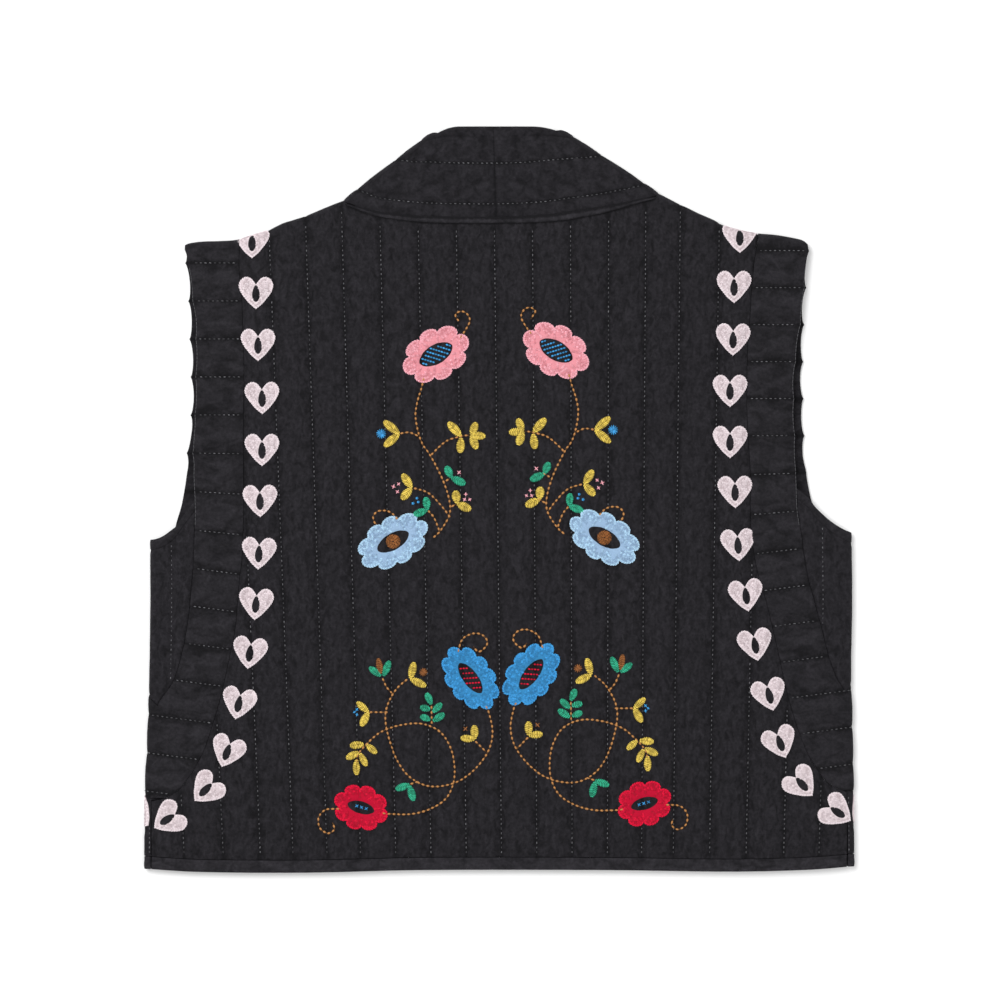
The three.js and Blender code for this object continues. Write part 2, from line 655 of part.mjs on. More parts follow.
// The hem strip of a front, which goes up round the side fold to the side seam
function frontHem(side) {
  const s = side.sign;
  const middle = side.foldMiddle(BACK_BOTTOM);
  const start = side.collarLine.at(-1)[0] + SEAM_GAP;
  const flat = evenly(start, middle, 10).map((x) => ({ x, turn: -90 }));
  const roll = FOLD_TURNS.toReversed().slice(1).map((turn) => ({ x: middle, turn }));
  const flapEnd = side.foldMiddle(side.bottom) - SIDE_FLAP + SEAM_GAP;
  const rows = [1, 0].map((up) =>
    [...flat, ...roll, { x: flapEnd, turn: 90 }].map(({ x, turn }) =>
      place(s * x, hemAt(s * x) + up * (HEM_HEIGHT - SEAM_GAP / 2), turn, FRONT_WALL, [s, 0]),
    ),
  );
  return new Cloth().sheet(rows).geometry();
}

const waistcoat = new THREE.Group();
function sew(name, geometry) {
  const material = new THREE.MeshStandardMaterial({ color: COLOUR, roughness: 0.95, metalness: 0 });
  const mesh = new THREE.Mesh(geometry, material);
  mesh.name = name;
  waistcoat.add(mesh);
}

sew("back", backPanel());
sew("neck_binding", neckBinding());
sew("hem_back", backHem());
for (const side of [LEFT, RIGHT]) {
  sew("front_" + side.name, frontPanel(side));
  sew("side_panel_" + side.name, sidePanel(side));
  sew("underarm_wedge_" + side.name, wedge(side));
  sew("underarm_binding_" + side.name, underarmBinding(side));
  sew("collar_" + side.name, collar(side));
  sew("hem_front_" + side.name, frontHem(side));
}

export default waistcoat;
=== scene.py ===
# A quilted cotton waistcoat with an embroidered back, laid out flat with its back up.
import math

import bpy
import bmesh
from mathutils import Matrix, Vector, noise
from mathutils.kdtree import KDTree


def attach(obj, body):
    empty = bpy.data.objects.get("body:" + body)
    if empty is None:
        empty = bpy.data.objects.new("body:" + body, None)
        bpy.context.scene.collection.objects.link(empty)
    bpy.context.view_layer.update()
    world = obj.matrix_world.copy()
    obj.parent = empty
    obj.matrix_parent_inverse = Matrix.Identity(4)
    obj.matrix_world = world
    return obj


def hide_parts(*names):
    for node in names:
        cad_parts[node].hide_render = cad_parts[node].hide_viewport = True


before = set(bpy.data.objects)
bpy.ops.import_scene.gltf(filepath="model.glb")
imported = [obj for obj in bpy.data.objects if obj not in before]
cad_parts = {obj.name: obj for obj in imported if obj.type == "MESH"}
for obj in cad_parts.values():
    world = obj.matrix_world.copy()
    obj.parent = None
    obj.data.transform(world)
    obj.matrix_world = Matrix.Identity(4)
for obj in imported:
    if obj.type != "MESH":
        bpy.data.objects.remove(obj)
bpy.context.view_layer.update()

# The back of the waistcoat: two layers of black double gauze with a thin wadding between them,
# quilted up and down in rows of hand-sized stitches. It is cut out round the neck, along the shoulders
# and down the side panels, and its shoulders roll over to the fronts. All sizes here are millimetres.
MM = 0.001
SEAM_GAP = 0.3
FOLD_IN = 1.0
FOLD_OUT = 4.0
FOLD_HEIGHT = 4.0
FOLD_HALF_LENGTH = (FOLD_IN + FOLD_OUT) / 2 * math.pi / 2
CLOTH_THICKNESS = 1.7
STRIP_THICKNESS = 1.4
STITCHED_WALL = 2.0
PUFFED_WALL = 3.6
FLAT_WALL = 2.7
UNDER_WALL = 2.75
UNDER_GROOVE = 0.3
WEDGE_TURN = 16.3
SIDE_FLAP = 2.0
TUCK = 1.0


def mix(a, b, share):
    return a + (b - a) * share


def clamp(value, low=0.0, high=1.0):
    return max(low, min(high, value))


def cut_off(value, low, high, near=0.8):
    """Keeps a value within its limits, and moves it onto one that it comes near to."""
    return low if value < low + near else high if value > high - near else value


def ease(value):
    value = clamp(value)
    return value * value * (3 - 2 * value)


def evenly(start, end, steps):
    return [mix(start, end, i / steps) for i in range(steps + 1)]


def line_through(points):
    """A smooth line through (place, value) points, read at any place."""
    points = sorted(points)
    last = len(points) - 1

    def read(at):
        i = 0
        while i < last - 1 and points[i + 1][0] <= at:
            i += 1
        (px, py), (qx, qy) = points[i], points[i + 1]
        bx, by = points[max(i - 1, 0)]
        ax, ay = points[min(i + 2, last)]
        step = qx - px
        s = clamp((at - px) / step)
        slope_in = (qy - by) / (qx - bx) * step
        slope_out = (ay - py) / (ax - px) * step
        s2, s3 = s * s, s * s * s
        start = (2 * s3 - 3 * s2 + 1) * py + (s3 - 2 * s2 + s) * slope_in
        return start + (3 * s2 - 2 * s3) * qy + (s3 - s2) * slope_out

    return read


class Side:
    """One half of the waistcoat, with the lines that its pieces are cut to."""

    def __init__(self, name, sign, sections, shoulder, silhouette, armhole, apex, bottom, neck_end):
        self.name, self.sign = name, sign
        self.seam = line_through([(y, seam) for y, seam, _, _ in sections])
        self.edge = line_through([(y, edge) for y, _, edge, _ in sections])
        self.under = line_through([(y, under) for y, _, _, under in sections])
        self.shoulder = line_through(shoulder)
        self.silhouette = line_through(silhouette)
        self.armhole = line_through(armhole)
        self.armhole_ends = (armhole[0][0], armhole[-1][0])
        self.apex, self.bottom, self.neck_end = apex, bottom, neck_end
        self.top = self.shoulder(self.seam(sections[0][0] - FOLD_OUT)) - FOLD_OUT
        self.point = -self.around(self.edge(apex), apex)
        self.turn_from = apex + WEDGE_TURN
        self.under_from = self.around(self.under(self.turn_from), self.turn_from)

    def around(self, distance, y):
        """The way round the side fold, from its edge, to a distance from the centre line."""
        return FOLD_HALF_LENGTH + self.silhouette(y) - FOLD_OUT - distance

    def distance(self, around, y):
        """The distance from the centre line to a place beside the side fold, by its way round."""
        return self.silhouette(y) - FOLD_OUT + FOLD_HALF_LENGTH - abs(around)

    def back_edge(self, y):
        y = max(y, self.apex)
        return -self.around(self.edge(y), y)

    def front_edge(self, y):
        if y >= self.turn_from:
            return self.around(self.under(y), y)
        share = clamp((self.turn_from - y) / (self.turn_from - self.apex))
        return mix(self.under_from, self.point, share)


# each section of a side panel: height, distance to its seam, to its free back edge and to its free front edge
left = Side(
    "left",
    -1,
    sections=[
        (201, 201.6, 244.3, 244.3), (180, 202, 241, 242.5), (156, 200, 238.1, 240.6),
        (134, 199.2, 235.6, 240), (100, 198.2, 235.5, 238.8), (64, 198.6, 236.2, 238.8),
        (46, 198.9, 237.6, 241), (17, 198.6, 237.2, 243.4), (-4, 198.4, 236.3, 247),
        (-20, 198.8, 236.4, 251.5), (-40, 199.4, 237, 254), (-66, 202, 238.6, 256),
        (-100, 205, 242.4, 259), (-128, 210.6, 248.4, 262), (-144, 214, 254.6, 264),
        (-160.3, 218.2, 265.2, 265.2), (-193, 228.6, 266.2, 266.2), (-209, 236.6, 266.6, 266.6),
        (-221, 245.2, 267, 267), (-227, 250.6, 267.2, 267.2), (-232, 259, 267.4, 267.4),
    ],
    shoulder=[
        (120, 233.2), (135, 226.4), (147, 221.6), (159, 217.2), (171, 213.4), (182, 208.6),
        (194, 204.6), (205, 201.8), (217, 201), (230, 200.6), (241, 199.2), (245, 197.4),
    ],
    silhouette=[
        (202, 271.6), (-31, 271.6), (-80, 271.4), (-155, 272.6), (-190, 274), (-235, 276), (-292, 276.3),
    ],
    armhole=[
        (-35.2, -1), (-25, -14.4), (-18.6, -23), (-11, -28.4), (-3.4, -31), (3, -31), (10, -28.4),
        (19.6, -21.4),
    ],
    apex=-160.3,
    bottom=-232,
    neck_end=121.4,
)
right = Side(
    "right",
    1,
    sections=[
        (206, 201.6, 240, 240), (190, 198.6, 239.1, 239.6), (164, 196, 236.5, 237.4),
        (143, 194.6, 234.4, 236), (122, 193, 231.6, 235.4), (95, 192.2, 228.7, 234.8),
        (67, 192.3, 228.6, 235.6), (40, 193.8, 229.6, 236.4), (15, 195, 230.5, 239.4),
        (-9, 194.8, 231.5, 244.4), (-31, 196.2, 234.9, 248), (-54, 200, 238, 251),
        (-81, 207.6, 244.9, 255), (-101, 212.4, 250.3, 259), (-120, 216.7, 255, 263),
        (-138, 220.6, 261.4, 266.4), (-151.4, 223.8, 269, 269), (-178, 231.7, 269.6, 269.6),
        (-199, 240.3, 270.2, 270.2), (-212, 248.5, 270.4, 270.4), (-220, 255, 270.6, 270.6),
        (-226, 265, 270.6, 270.6),
    ],
    shoulder=[
        (123, 238), (132, 233.2), (144, 227.7), (155, 221.8), (167, 217), (178, 211.6),
        (190, 208.4), (202, 206.8), (214, 205.8), (225, 204), (236, 201.4), (240, 198),
    ],
    silhouette=[
        (206, 274), (-26, 274), (-80, 274.4), (-135, 273.6), (-190, 275), (-245, 276), (-292, 276.3),
    ],
    armhole=[
        (-43, 8.6), (-34, 1.5), (-28.6, -5.8), (-16.4, -17), (-4, -24.4), (3, -26), (12, -22.6), (26, -12.4),
    ],
    apex=-151.4,
    bottom=-226,
    neck_end=124.4,
)
neck_below = line_through([
    (-118.4, 228.2), (-109, 224.2), (-98, 220.3), (-73, 216.2), (-48, 214.4), (0, 214.2),
    (36, 215.2), (62, 218.2), (87, 223.6), (109, 230), (121.6, 233.4),
])
neck_above = line_through([
    (-118.4, 229.8), (-109, 227), (-98, 224.2), (-73, 221), (-48, 219.7), (0, 219.4),
    (36, 221.2), (62, 224.8), (87, 228.6), (109, 233.2), (121.6, 234.9),
])
hem_line = line_through([
    (-277, -286.6), (-235, -289.2), (-150, -289.8), (-60, -287.8),
    (80, -287.8), (180, -289), (240, -287.6), (277, -284.6),
])
HEM_HEIGHT = 10


def hem_seam(x):
    return hem_line(x) + HEM_HEIGHT


def lie(x, y, turn, wall, out=(0, 1)):
    """The outer face of the cloth at a place or, round a fold, at a turn that is 90 on the back."""
    reach = FOLD_IN + wall
    level = math.cos(math.radians(turn)) * reach
    height = FOLD_HEIGHT + math.sin(math.radians(turn)) * reach
    return Vector((x + out[0] * level, y + out[1] * level, height))


def wall_at(turn, on_back, on_front):
    """How far the outer face stands off the inside of a fold, part of the way from the front to the back."""
    return mix(on_front, on_back, (turn + 90) / 180)


def roll_turn(past):
    """How far round a shoulder's roll a place lies, by its way past the start of it: from 90 to -90."""
    return 90 - 180 * past / (math.pi * FOLD_OUT)


def under_wall(raised):
    """How far the cloth stands off the inside of the side fold on the front: less in its grooves."""
    return UNDER_WALL - UNDER_GROOVE * (1 - raised)


def lie_round(side, around, y, on_back, on_front):
    """The outer face of the cloth by its way round a side fold, which is negative on the back."""
    turn = -90 * clamp(around / FOLD_HALF_LENGTH, -1, 1)
    past = max(abs(around) - FOLD_HALF_LENGTH, 0)
    x = side.sign * (side.silhouette(y) - FOLD_OUT - past)
    return lie(x, y, turn, wall_at(turn, on_back, on_front), (side.sign, 0))


def crinkle(p, q, along, layer):
    """The small puckers that the stitches draw up, running across the rows."""
    a, b = (p, q) if along else (q, p)
    fine = noise.noise(Vector((a / 9, b / 4.2, layer)))
    broad = noise.noise(Vector((p / 34, q / 34, layer + 9)))
    return 0.3 * fine + 0.3 * broad


def puff(share):
    """How far a channel stands up between two rows of stitches: 0 on a row, 1 halfway to the next."""
    return math.sin(math.pi * (share - math.floor(share))) ** 0.55


ROW_TOP, ROW_FOOT = 240, -292
ROW_LEAN_TOP, ROW_LEAN_FOOT = -4.2, 1.9
ROW_SPACING_TOP, ROW_SPACING_FOOT, ROW_SPACING_MEAN = 29.7, 27.3, 28.4
# how far aside some of the rows lie
ROW_SHIFTS = {-8: 3, -7: 4.4, -6: 2.4, -5: 1.4, 4: -0.8, 5: -3.6, 6: -2.8, 7: -1.8}


def row_x(row, y):
    """Where a row of stitches on the back runs: the rows draw together towards the hem."""
    share = (y - ROW_FOOT) / (ROW_TOP - ROW_FOOT)
    low = math.floor(row)
    shift = mix(ROW_SHIFTS.get(low, 0), ROW_SHIFTS.get(low + 1, 0), row - low)
    spacing = mix(ROW_SPACING_FOOT, ROW_SPACING_TOP, share)
    return mix(ROW_LEAN_FOOT, ROW_LEAN_TOP, share) + row * spacing + shift


def row_share(x, y):
    """The row of stitches that passes a place, with its share of the way to the next one."""
    row = math.floor((x - row_x(0, y)) / ROW_SPACING_MEAN) - 1
    while row_x(row + 1, y) < x:
        row += 1
    near, far = row_x(row, y), row_x(row + 1, y)
    return row + (x - near) / (far - near)


# the shoulders' rolls are pressed in by the thread of the hearts that go over them
SHOULDER_HEART = 189
SHOULDER_PRESS = 0.95
NO_EDGE_NEAR = 99


def back_spot(x, y):
    """The outer face of the back. Above the shoulder line y goes on round the roll to the front."""
    side = right if x > 0 else left
    fold = side.shoulder(abs(x)) - FOLD_OUT
    on_shoulder = abs(x) > side.neck_end - 2 * TUCK - 0.5
    flat_y = min(y, fold) if on_shoulder else y
    below = max(side.bottom - flat_y, 0)
    to_seam = math.hypot(max(side.seam(max(flat_y, side.bottom)) - abs(x), 0), below)
    to_neck = NO_EDGE_NEAR if on_shoulder else neck_below(x) - y
    soft = ease(min(to_seam, to_neck, flat_y - hem_seam(x)) / 5)
    wall = mix(STITCHED_WALL, PUFFED_WALL, puff(row_share(x, flat_y)) * mix(0.25, 1, soft))
    wall += crinkle(x, y, False, 3.1) * mix(0.4, 1, soft)
    if y <= flat_y:
        return lie(x, y, 90, wall)
    turn = roll_turn(y - fold)
    drawn_in = SHOULDER_PRESS * ease((22 - abs(abs(x) - SHOULDER_HEART)) / 6)
    return lie(x, fold, turn, wall_at(turn, wall, FOLD_OUT - FOLD_IN - drawn_in))


def groove_shade(share):
    """How much painted shade a place gets in the hollow that a row of stitches draws up: 1 on the row, 0
    between two.
    """
    return (1 - puff(share)) ** 2


def gauze_cloth(columns, rows, place, surface, sunk=lambda *cut: 0):
    """A piece of cloth: a grid of columns and rows, each corner placed on the cut, then on the surface."""
    bm = bmesh.new()
    # each corner also keeps a share of painted shade, by which the gauze material darkens its colour
    painted_shade_layer = bm.verts.layers.float.new("sunk")
    bmesh.ops.create_grid(bm, x_segments=len(columns) - 1, y_segments=len(rows) - 1, size=1)
    cut = {}
    for v in bm.verts:
        column = columns[round((v.co.x + 1) / 2 * (len(columns) - 1))]
        row = rows[round((v.co.y + 1) / 2 * (len(rows) - 1))]
        cut[v] = place(column, row)
        if cut[v]:
            v.co = surface(*cut[v]) * MM
            v[painted_shade_layer] = sunk(*cut[v])
    bmesh.ops.delete(bm, geom=[v for v in bm.verts if not cut[v]], context="VERTS")
    uv = bm.loops.layers.uv.new("cut")
    for face in bm.faces:
        face.smooth = True
        for loop in face.loops:
            p, q = cut[loop.vert][-2:]
            loop[uv].uv = (p * MM, q * MM)
    return bm


def mesh_of(name, bm):
    mesh = bpy.data.meshes.new(name)
    bm.to_mesh(mesh)
    bm.free()
    return mesh


def piece_of(name, bm, material):
    """A new piece in the scene, of one material."""
    mesh = mesh_of(name, bm)
    piece = bpy.data.objects.new(name, mesh)
    bpy.context.scene.collection.objects.link(piece)
    mesh.materials.append(material)
    return piece


def finish_cloth(name, bm, node, material, thickness=CLOTH_THICKNESS):
    """Joins the corners that fall together, turns the cloth the right way out and gives it its thickness."""
    bmesh.ops.remove_doubles(bm, verts=bm.verts, dist=2e-5)
    bmesh.ops.dissolve_degenerate(bm, edges=bm.edges, dist=1e-6)
    bm.normal_update()
    top = max(bm.faces, key=lambda face: face.calc_center_median().z + min(face.calc_area(), 1e-5))
    if top.normal.z < 0:
        bmesh.ops.reverse_faces(bm, faces=bm.faces)
    piece = piece_of(name, bm, material)
    wall = piece.modifiers.new("thickness", "SOLIDIFY")
    wall.thickness = thickness * MM
    wall.offset = -1
    soft = piece.modifiers.new("soft edges", "BEVEL")
    soft.width = 0.45 * MM
    soft.segments = 2
    soft.limit_method = "ANGLE"
    soft.angle_limit = math.radians(55)
    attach(piece, "root")
    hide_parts(node)
    return piece


def new_group(name, inputs, outputs):
    """A shader node group with named inputs and outputs."""
    group = bpy.data.node_groups.new(name, "ShaderNodeTree")
    for label, kind, value in inputs:
        socket = group.interface.new_socket(name=label, in_out="INPUT", socket_type=kind)
        if value is not None:
            socket.default_value = value
    for label, kind in outputs:
        group.interface.new_socket(name=label, in_out="OUTPUT", socket_type=kind)
    return group, group.nodes.new("NodeGroupInput"), group.nodes.new("NodeGroupOutput")


def set_values(node, values):
    for label, value in values.items():
        node.inputs[label].default_value = value


def new_node(tree, kind, values=None, **settings):
    """A shader node with its settings, then the values of its inputs."""
    node = tree.nodes.new(kind)
    for label, setting in settings.items():
        setattr(node, label, setting)
    set_values(node, values or {})
    return node


def math_node(tree, operation, a, b):
    """A Math node, each of whose two values is a number or a socket."""
    node = new_node(tree, "ShaderNodeMath", operation=operation)
    for socket, value in zip(node.inputs, (a, b)):
        if isinstance(value, (int, float)):
            socket.default_value = value
        else:
            tree.links.new(value, socket)
    return node.outputs[0]


def gauze_group():
    """Crinkled double gauze: an open plain weave with slubs, and soft creases that follow the grain. Its tone
    has a painted highlight on the creases and painted shade where a piece holds it.
    """
    group, given, result = new_group(
        "crinkled gauze",
        [("Place", "NodeSocketVector", None), ("Threads per metre", "NodeSocketFloat", 1500.0),
         ("Crease length", "NodeSocketFloat", 5.0), ("Sunk", "NodeSocketFloat", 0.0)],
        [("Shade", "NodeSocketFloat"), ("Height", "NodeSocketFloat")],
    )
    link = group.links.new
    threads = new_node(group, "ShaderNodeVectorMath", operation="SCALE")
    link(given.outputs["Place"], threads.inputs[0])
    link(given.outputs["Threads per metre"], threads.inputs["Scale"])
    heights = []
    for direction in ("X", "Y"):
        values = {"Scale": 0.31, "Distortion": 1.2, "Detail": 1.0, "Detail Scale": 0.4}
        wave = new_node(group, "ShaderNodeTexWave", values, bands_direction=direction)
        link(threads.outputs[0], wave.inputs["Vector"])
        heights.append(wave.outputs["Fac"])
    weave = math_node(group, "MULTIPLY", *heights)
    creased = group.nodes.new("ShaderNodeCombineXYZ")
    parts = group.nodes.new("ShaderNodeSeparateXYZ")
    link(given.outputs["Place"], parts.inputs[0])
    link(math_node(group, "MULTIPLY", parts.outputs[0], given.outputs["Crease length"]), creased.inputs[0])
    link(parts.outputs[1], creased.inputs[1])
    values = {"Scale": 130.0, "Detail": 4.0, "Roughness": 0.45, "Distortion": 0.8}
    crease = new_node(group, "ShaderNodeTexNoise", values)
    link(creased.outputs[0], crease.inputs["Vector"])
    slub = new_node(group, "ShaderNodeTexNoise", {"Scale": 420.0, "Detail": 6.0, "Roughness": 0.7})
    link(given.outputs["Place"], slub.inputs["Vector"])
    broad = math_node(group, "MULTIPLY", crease.outputs["Fac"], 1.6)
    height = math_node(group, "ADD", broad, math_node(group, "MULTIPLY", weave, 0.35))
    height = math_node(group, "ADD", height, math_node(group, "MULTIPLY", slub.outputs["Fac"], 0.5))
    link(height, result.inputs["Height"])
    # painted highlight: the tone is lighter where the crease noise that raises the bump stands up, mixed with
    # the slubs' own tone
    shade = math_node(group, "MULTIPLY", crease.outputs["Fac"], slub.outputs["Fac"])
    contrast = math_node(group, "MULTIPLY", math_node(group, "SUBTRACT", shade, 0.13), 3.2)
    contrast = math_node(group, "ADD", contrast, math_node(group, "MULTIPLY", weave, 0.35))
    # painted shade darkens the tone along the rows of stitches and the seams that a piece marks
    sunk = math_node(group, "MULTIPLY", given.outputs["Sunk"], 0.55)
    link(math_node(group, "SUBTRACT", contrast, sunk), result.inputs["Shade"])
    return group


gauze = gauze_group()


def colour_and_bump(tree, share, dark, light, height, strength, depth):
    """Colours the shader from dark to light by a share, and gives its surface a relief."""
    shader = tree.nodes["Principled BSDF"]
    colours = new_node(tree, "ShaderNodeMix", {"A": (*dark, 1), "B": (*light, 1)}, data_type="RGBA")
    tree.links.new(share, colours.inputs["Factor"])
    tree.links.new(colours.outputs["Result"], shader.inputs["Base Color"])
    bump = new_node(tree, "ShaderNodeBump", {"Strength": strength, "Distance": depth})
    tree.links.new(height, bump.inputs["Height"])
    tree.links.new(bump.outputs[0], shader.inputs["Normal"])


def gauze_material(name, dark, light, crease_length):
    """Matt black cotton, a little lighter where the creases stand up, as a painted highlight, and darker by
    the painted shade that the piece keeps along its rows of stitches and seams.
    """
    material = bpy.data.materials.new(name)
    material.use_nodes = True
    tree = material.node_tree
    finish = {"Roughness": 0.92, "Specular IOR Level": 0.12, "Sheen Weight": 0.03, "Sheen Roughness": 0.6}
    set_values(tree.nodes["Principled BSDF"], {**finish, "Sheen Tint": (0.75, 0.72, 0.8, 1)})
    place = new_node(tree, "ShaderNodeUVMap", uv_map="cut")
    pattern = new_node(tree, "ShaderNodeGroup", {"Crease length": crease_length}, node_tree=gauze)
    # reads the painted shade that each piece keeps along its rows of stitches and seams
    grooves = new_node(tree, "ShaderNodeAttribute", attribute_name="sunk")
    tree.links.new(grooves.outputs["Fac"], pattern.inputs["Sunk"])
    tree.links.new(place.outputs[0], pattern.inputs["Place"])
    colour_and_bump(tree, pattern.outputs["Shade"], dark, light, pattern.outputs["Height"], 0.9, 0.0009)
    return material


back_gauze = gauze_material("black double gauze", (0.0056, 0.0053, 0.0064), (0.027, 0.0251, 0.0298), 1.9)

channel_shares = [0, 0.05, 0.13, 0.24, 0.37, 0.5, 0.63, 0.76, 0.87, 0.95]
# the levels of the back run up to the neck, and spread out from a height to the line of neck and shoulders
BACK_LEVEL, SPREAD_FROM, NECK_FROM = 216, 170, 195
back_columns = [channel + share for channel in range(-11, 11) for share in channel_shares]
back_rows = [*evenly(0, 1, 205), *[("roll", turn) for turn in evenly(90, -90, 9)[1:]]]


def place_on_back(row, up):
    """A place on the cut: along the rows of stitches, and moved onto the edges that it comes near to."""
    rolled = isinstance(up, tuple)
    high = mix(hem_seam(0), BACK_LEVEL, 1 if rolled else up)
    x = row_x(row, high)
    for side in (left, right):
        near = side.sign * (side.neck_end - 2 * TUCK)
        if abs(x - near) < 1.9 and high > NECK_FROM:
            x = mix(x, near, ease((high - NECK_FROM) / 15))
    side = right if x > 0 else left
    y = high
    for _ in range(3):
        reach = side.seam(min(y, side.top)) - SEAM_GAP / 2
        if y < side.bottom:
            reach = side.silhouette(side.bottom) - FOLD_OUT - SIDE_FLAP
        x = cut_off(x, -reach, reach)
        on_shoulder = abs(x) >= side.neck_end - 2 * TUCK - 0.01
        top = side.shoulder(abs(x)) - FOLD_OUT if on_shoulder else neck_below(x) + TUCK
        low = hem_seam(x) + SEAM_GAP / 2
        spread = (high - SPREAD_FROM) / (BACK_LEVEL - SPREAD_FROM)
        middle = clamp(high, low, SPREAD_FROM)
        y = middle if up == 0 or high < SPREAD_FROM else mix(SPREAD_FROM, top, spread)
        y = mix(low, y, ease((high - hem_seam(0)) / 8)) if high < hem_seam(0) + 8 else y
    if not rolled:
        return x, y
    return (x, top + FOLD_OUT * math.radians(90 - up[1])) if on_shoulder else None


def back_painted_shade(x, y):
    """Painted shade: darkest along the rows of stitches, and along the neck, where the binding presses on the
    edge.
    """
    side = right if x > 0 else left
    to_neck = neck_below(x) + TUCK - y if abs(x) < side.neck_end - 2 * TUCK else NO_EDGE_NEAR
    return max(groove_shade(row_share(x, min(y, 215))), 1.5 * clamp(1 - to_neck / 2.6))


bm = gauze_cloth(back_columns, back_rows, place_on_back, back_spot, back_painted_shade)
back = finish_cloth("back_cloth", bm, "back", back_gauze)

# The fronts lie under the back, flat on the table, and are quilted in the same rows. Below the side panels
# each front comes up round the side to its seam with the back.
collar_seam = line_through([
    (-300, 70.4), (-150, 70.4), (-20, 70.4), (5, 71.4), (30, 75), (60, 82), (95, 91), (130, 100),
    (165, 107.6), (195, 113), (214, 116.6), (230, 118.6),
])
# each heart of the border on a front: way round the side fold, height, lean of its tip towards the side
FRONT_HEARTS = {}
for side in (left, right):
    above = [(side.around(side.seam(y) - 14.5, y), y, 0) for y in evenly(176, -25.5, 5)]
    below = []
    for i, y in enumerate(evenly(-66, -185, 3)):
        below.append((side.around(side.seam(y) - 15.5 - 2 * i, y), y, 4 + 4 * i))
    last = (5.2, -243.8, 44) if side is left else (7.6, -240.9, 42)
    FRONT_HEARTS[side] = [*above, *below, (44, -222, 52), last]


def pressed(side, around, y):
    """How far the front is pressed in under its embroidery, which lies on the table."""
    near = min(math.hypot(around - a, y - q) for a, q, _ in FRONT_HEARTS[side])
    return 0.9 * (1 - ease((near - 15) / 4))


def front_spot(side, around, y):
    distance = side.distance(around, y)
    share = row_share(side.sign * distance, y)
    on_front = under_wall(puff(share)) - pressed(side, around, y)
    return lie_round(side, around, y, FLAT_WALL, on_front)


front_heights = evenly(-282, 236, 130)
front_arounds = [-5.6, -FOLD_HALF_LENGTH, -2.6, -1.3, 0, 1.3, 2.6, FOLD_HALF_LENGTH, *evenly(8, 210, 60)]
for side in (left, right):

    def place_on_front(around, y, side=side):
        low = -(FOLD_HALF_LENGTH + SIDE_FLAP - SEAM_GAP)
        if y > side.bottom - 0.15:
            low = side.around(side.seam(min(y, side.top)) - SEAM_GAP / 2, y)
        high = side.around(collar_seam(y) + SEAM_GAP, y)
        around = clamp(around, low, max(high, low + 0.1))
        distance = side.distance(around, y)
        top = side.shoulder(max(distance, side.neck_end)) - FOLD_OUT - SEAM_GAP
        return side, around, clamp(y, hem_seam(side.sign * distance) + SEAM_GAP / 2, top)

    heights = sorted([*front_heights, side.bottom - 0.15, side.bottom - 0.1])
    bm = gauze_cloth(front_arounds, heights, place_on_front, front_spot)
    finish_cloth("front_cloth_" + side.name, bm, "front_" + side.name, back_gauze)

# The side panels: each is one strip, quilted crosswise, up the back of the armhole, over the shoulder and
# down the front of it. Under the arm its two halves are one piece round the side.
# on each side, the height of the first crosswise row and the spacing of the rows
PANEL_ROWS = {left: (183.6, 29.5), right: (193.2, 28.7)}
PANEL_SLOPE, SLOPE_FROM, SLOPE_DEPTH = 0.13, 60, 120
PANEL_MIDDLE = 22
OVER_SHOULDER = 260
panel_gauze = gauze_material(
    "black double gauze crosswise", (0.006, 0.0057, 0.0068), (0.03, 0.028, 0.033), 0.6,
)


def panel_slope(level):
    """How steeply a crosswise row rises towards the outside: more, the lower it lies."""
    return PANEL_SLOPE * ease((SLOPE_FROM - level) / SLOPE_DEPTH)


def outward(around):
    return PANEL_MIDDLE - (abs(around) - FOLD_HALF_LENGTH)


def panel_lean(side, around, level):
    """How far a crosswise row rises above its level, which is nothing at the foot of the panel."""
    return panel_slope(level) * ease((level - side.bottom) / 12) * outward(around)


def panel_row_share(side, around, y):
    first, spacing = PANEL_ROWS[side]
    level = y
    for _ in range(2):
        level = y - panel_lean(side, around, level)
    return (first - level) / spacing


def panel_spot(side, part, around, y):
    if part == "roll":
        distance = side.distance(around, side.top)
        middle = side.shoulder(distance) - FOLD_OUT
        turn = roll_turn(y - middle)
        return lie(side.sign * distance, middle, turn, 2.9 + 0.1 * crinkle(around, y, True, 7))
    open_edge = side.back_edge(y) if part == "back" else side.front_edge(y)
    seam = side.around(side.seam(max(y, side.bottom)), y)
    to_seam = seam - abs(around)
    to_edge = abs(around - open_edge) if y > side.apex else NO_EDGE_NEAR
    soft = ease(min(to_seam, to_edge + 1.5, y - side.bottom + 0.5) / 5)
    raised = puff(panel_row_share(side, around, y)) * mix(0.3, 1, soft)
    wall = mix(STITCHED_WALL, PUFFED_WALL, raised) + crinkle(around, y, True, 5.7) * mix(0.4, 1, soft)
    return lie_round(side, around, y, wall, under_wall(raised))


def panel_bulge(side, part, edge, y):
    """How far the free edge of a panel swells out between two rows, above the underarm."""
    size = 1.2 if part == "back" else -2.2
    return size * (puff(panel_row_share(side, edge, y)) - 0.6) * ease((y - 18) / 12)


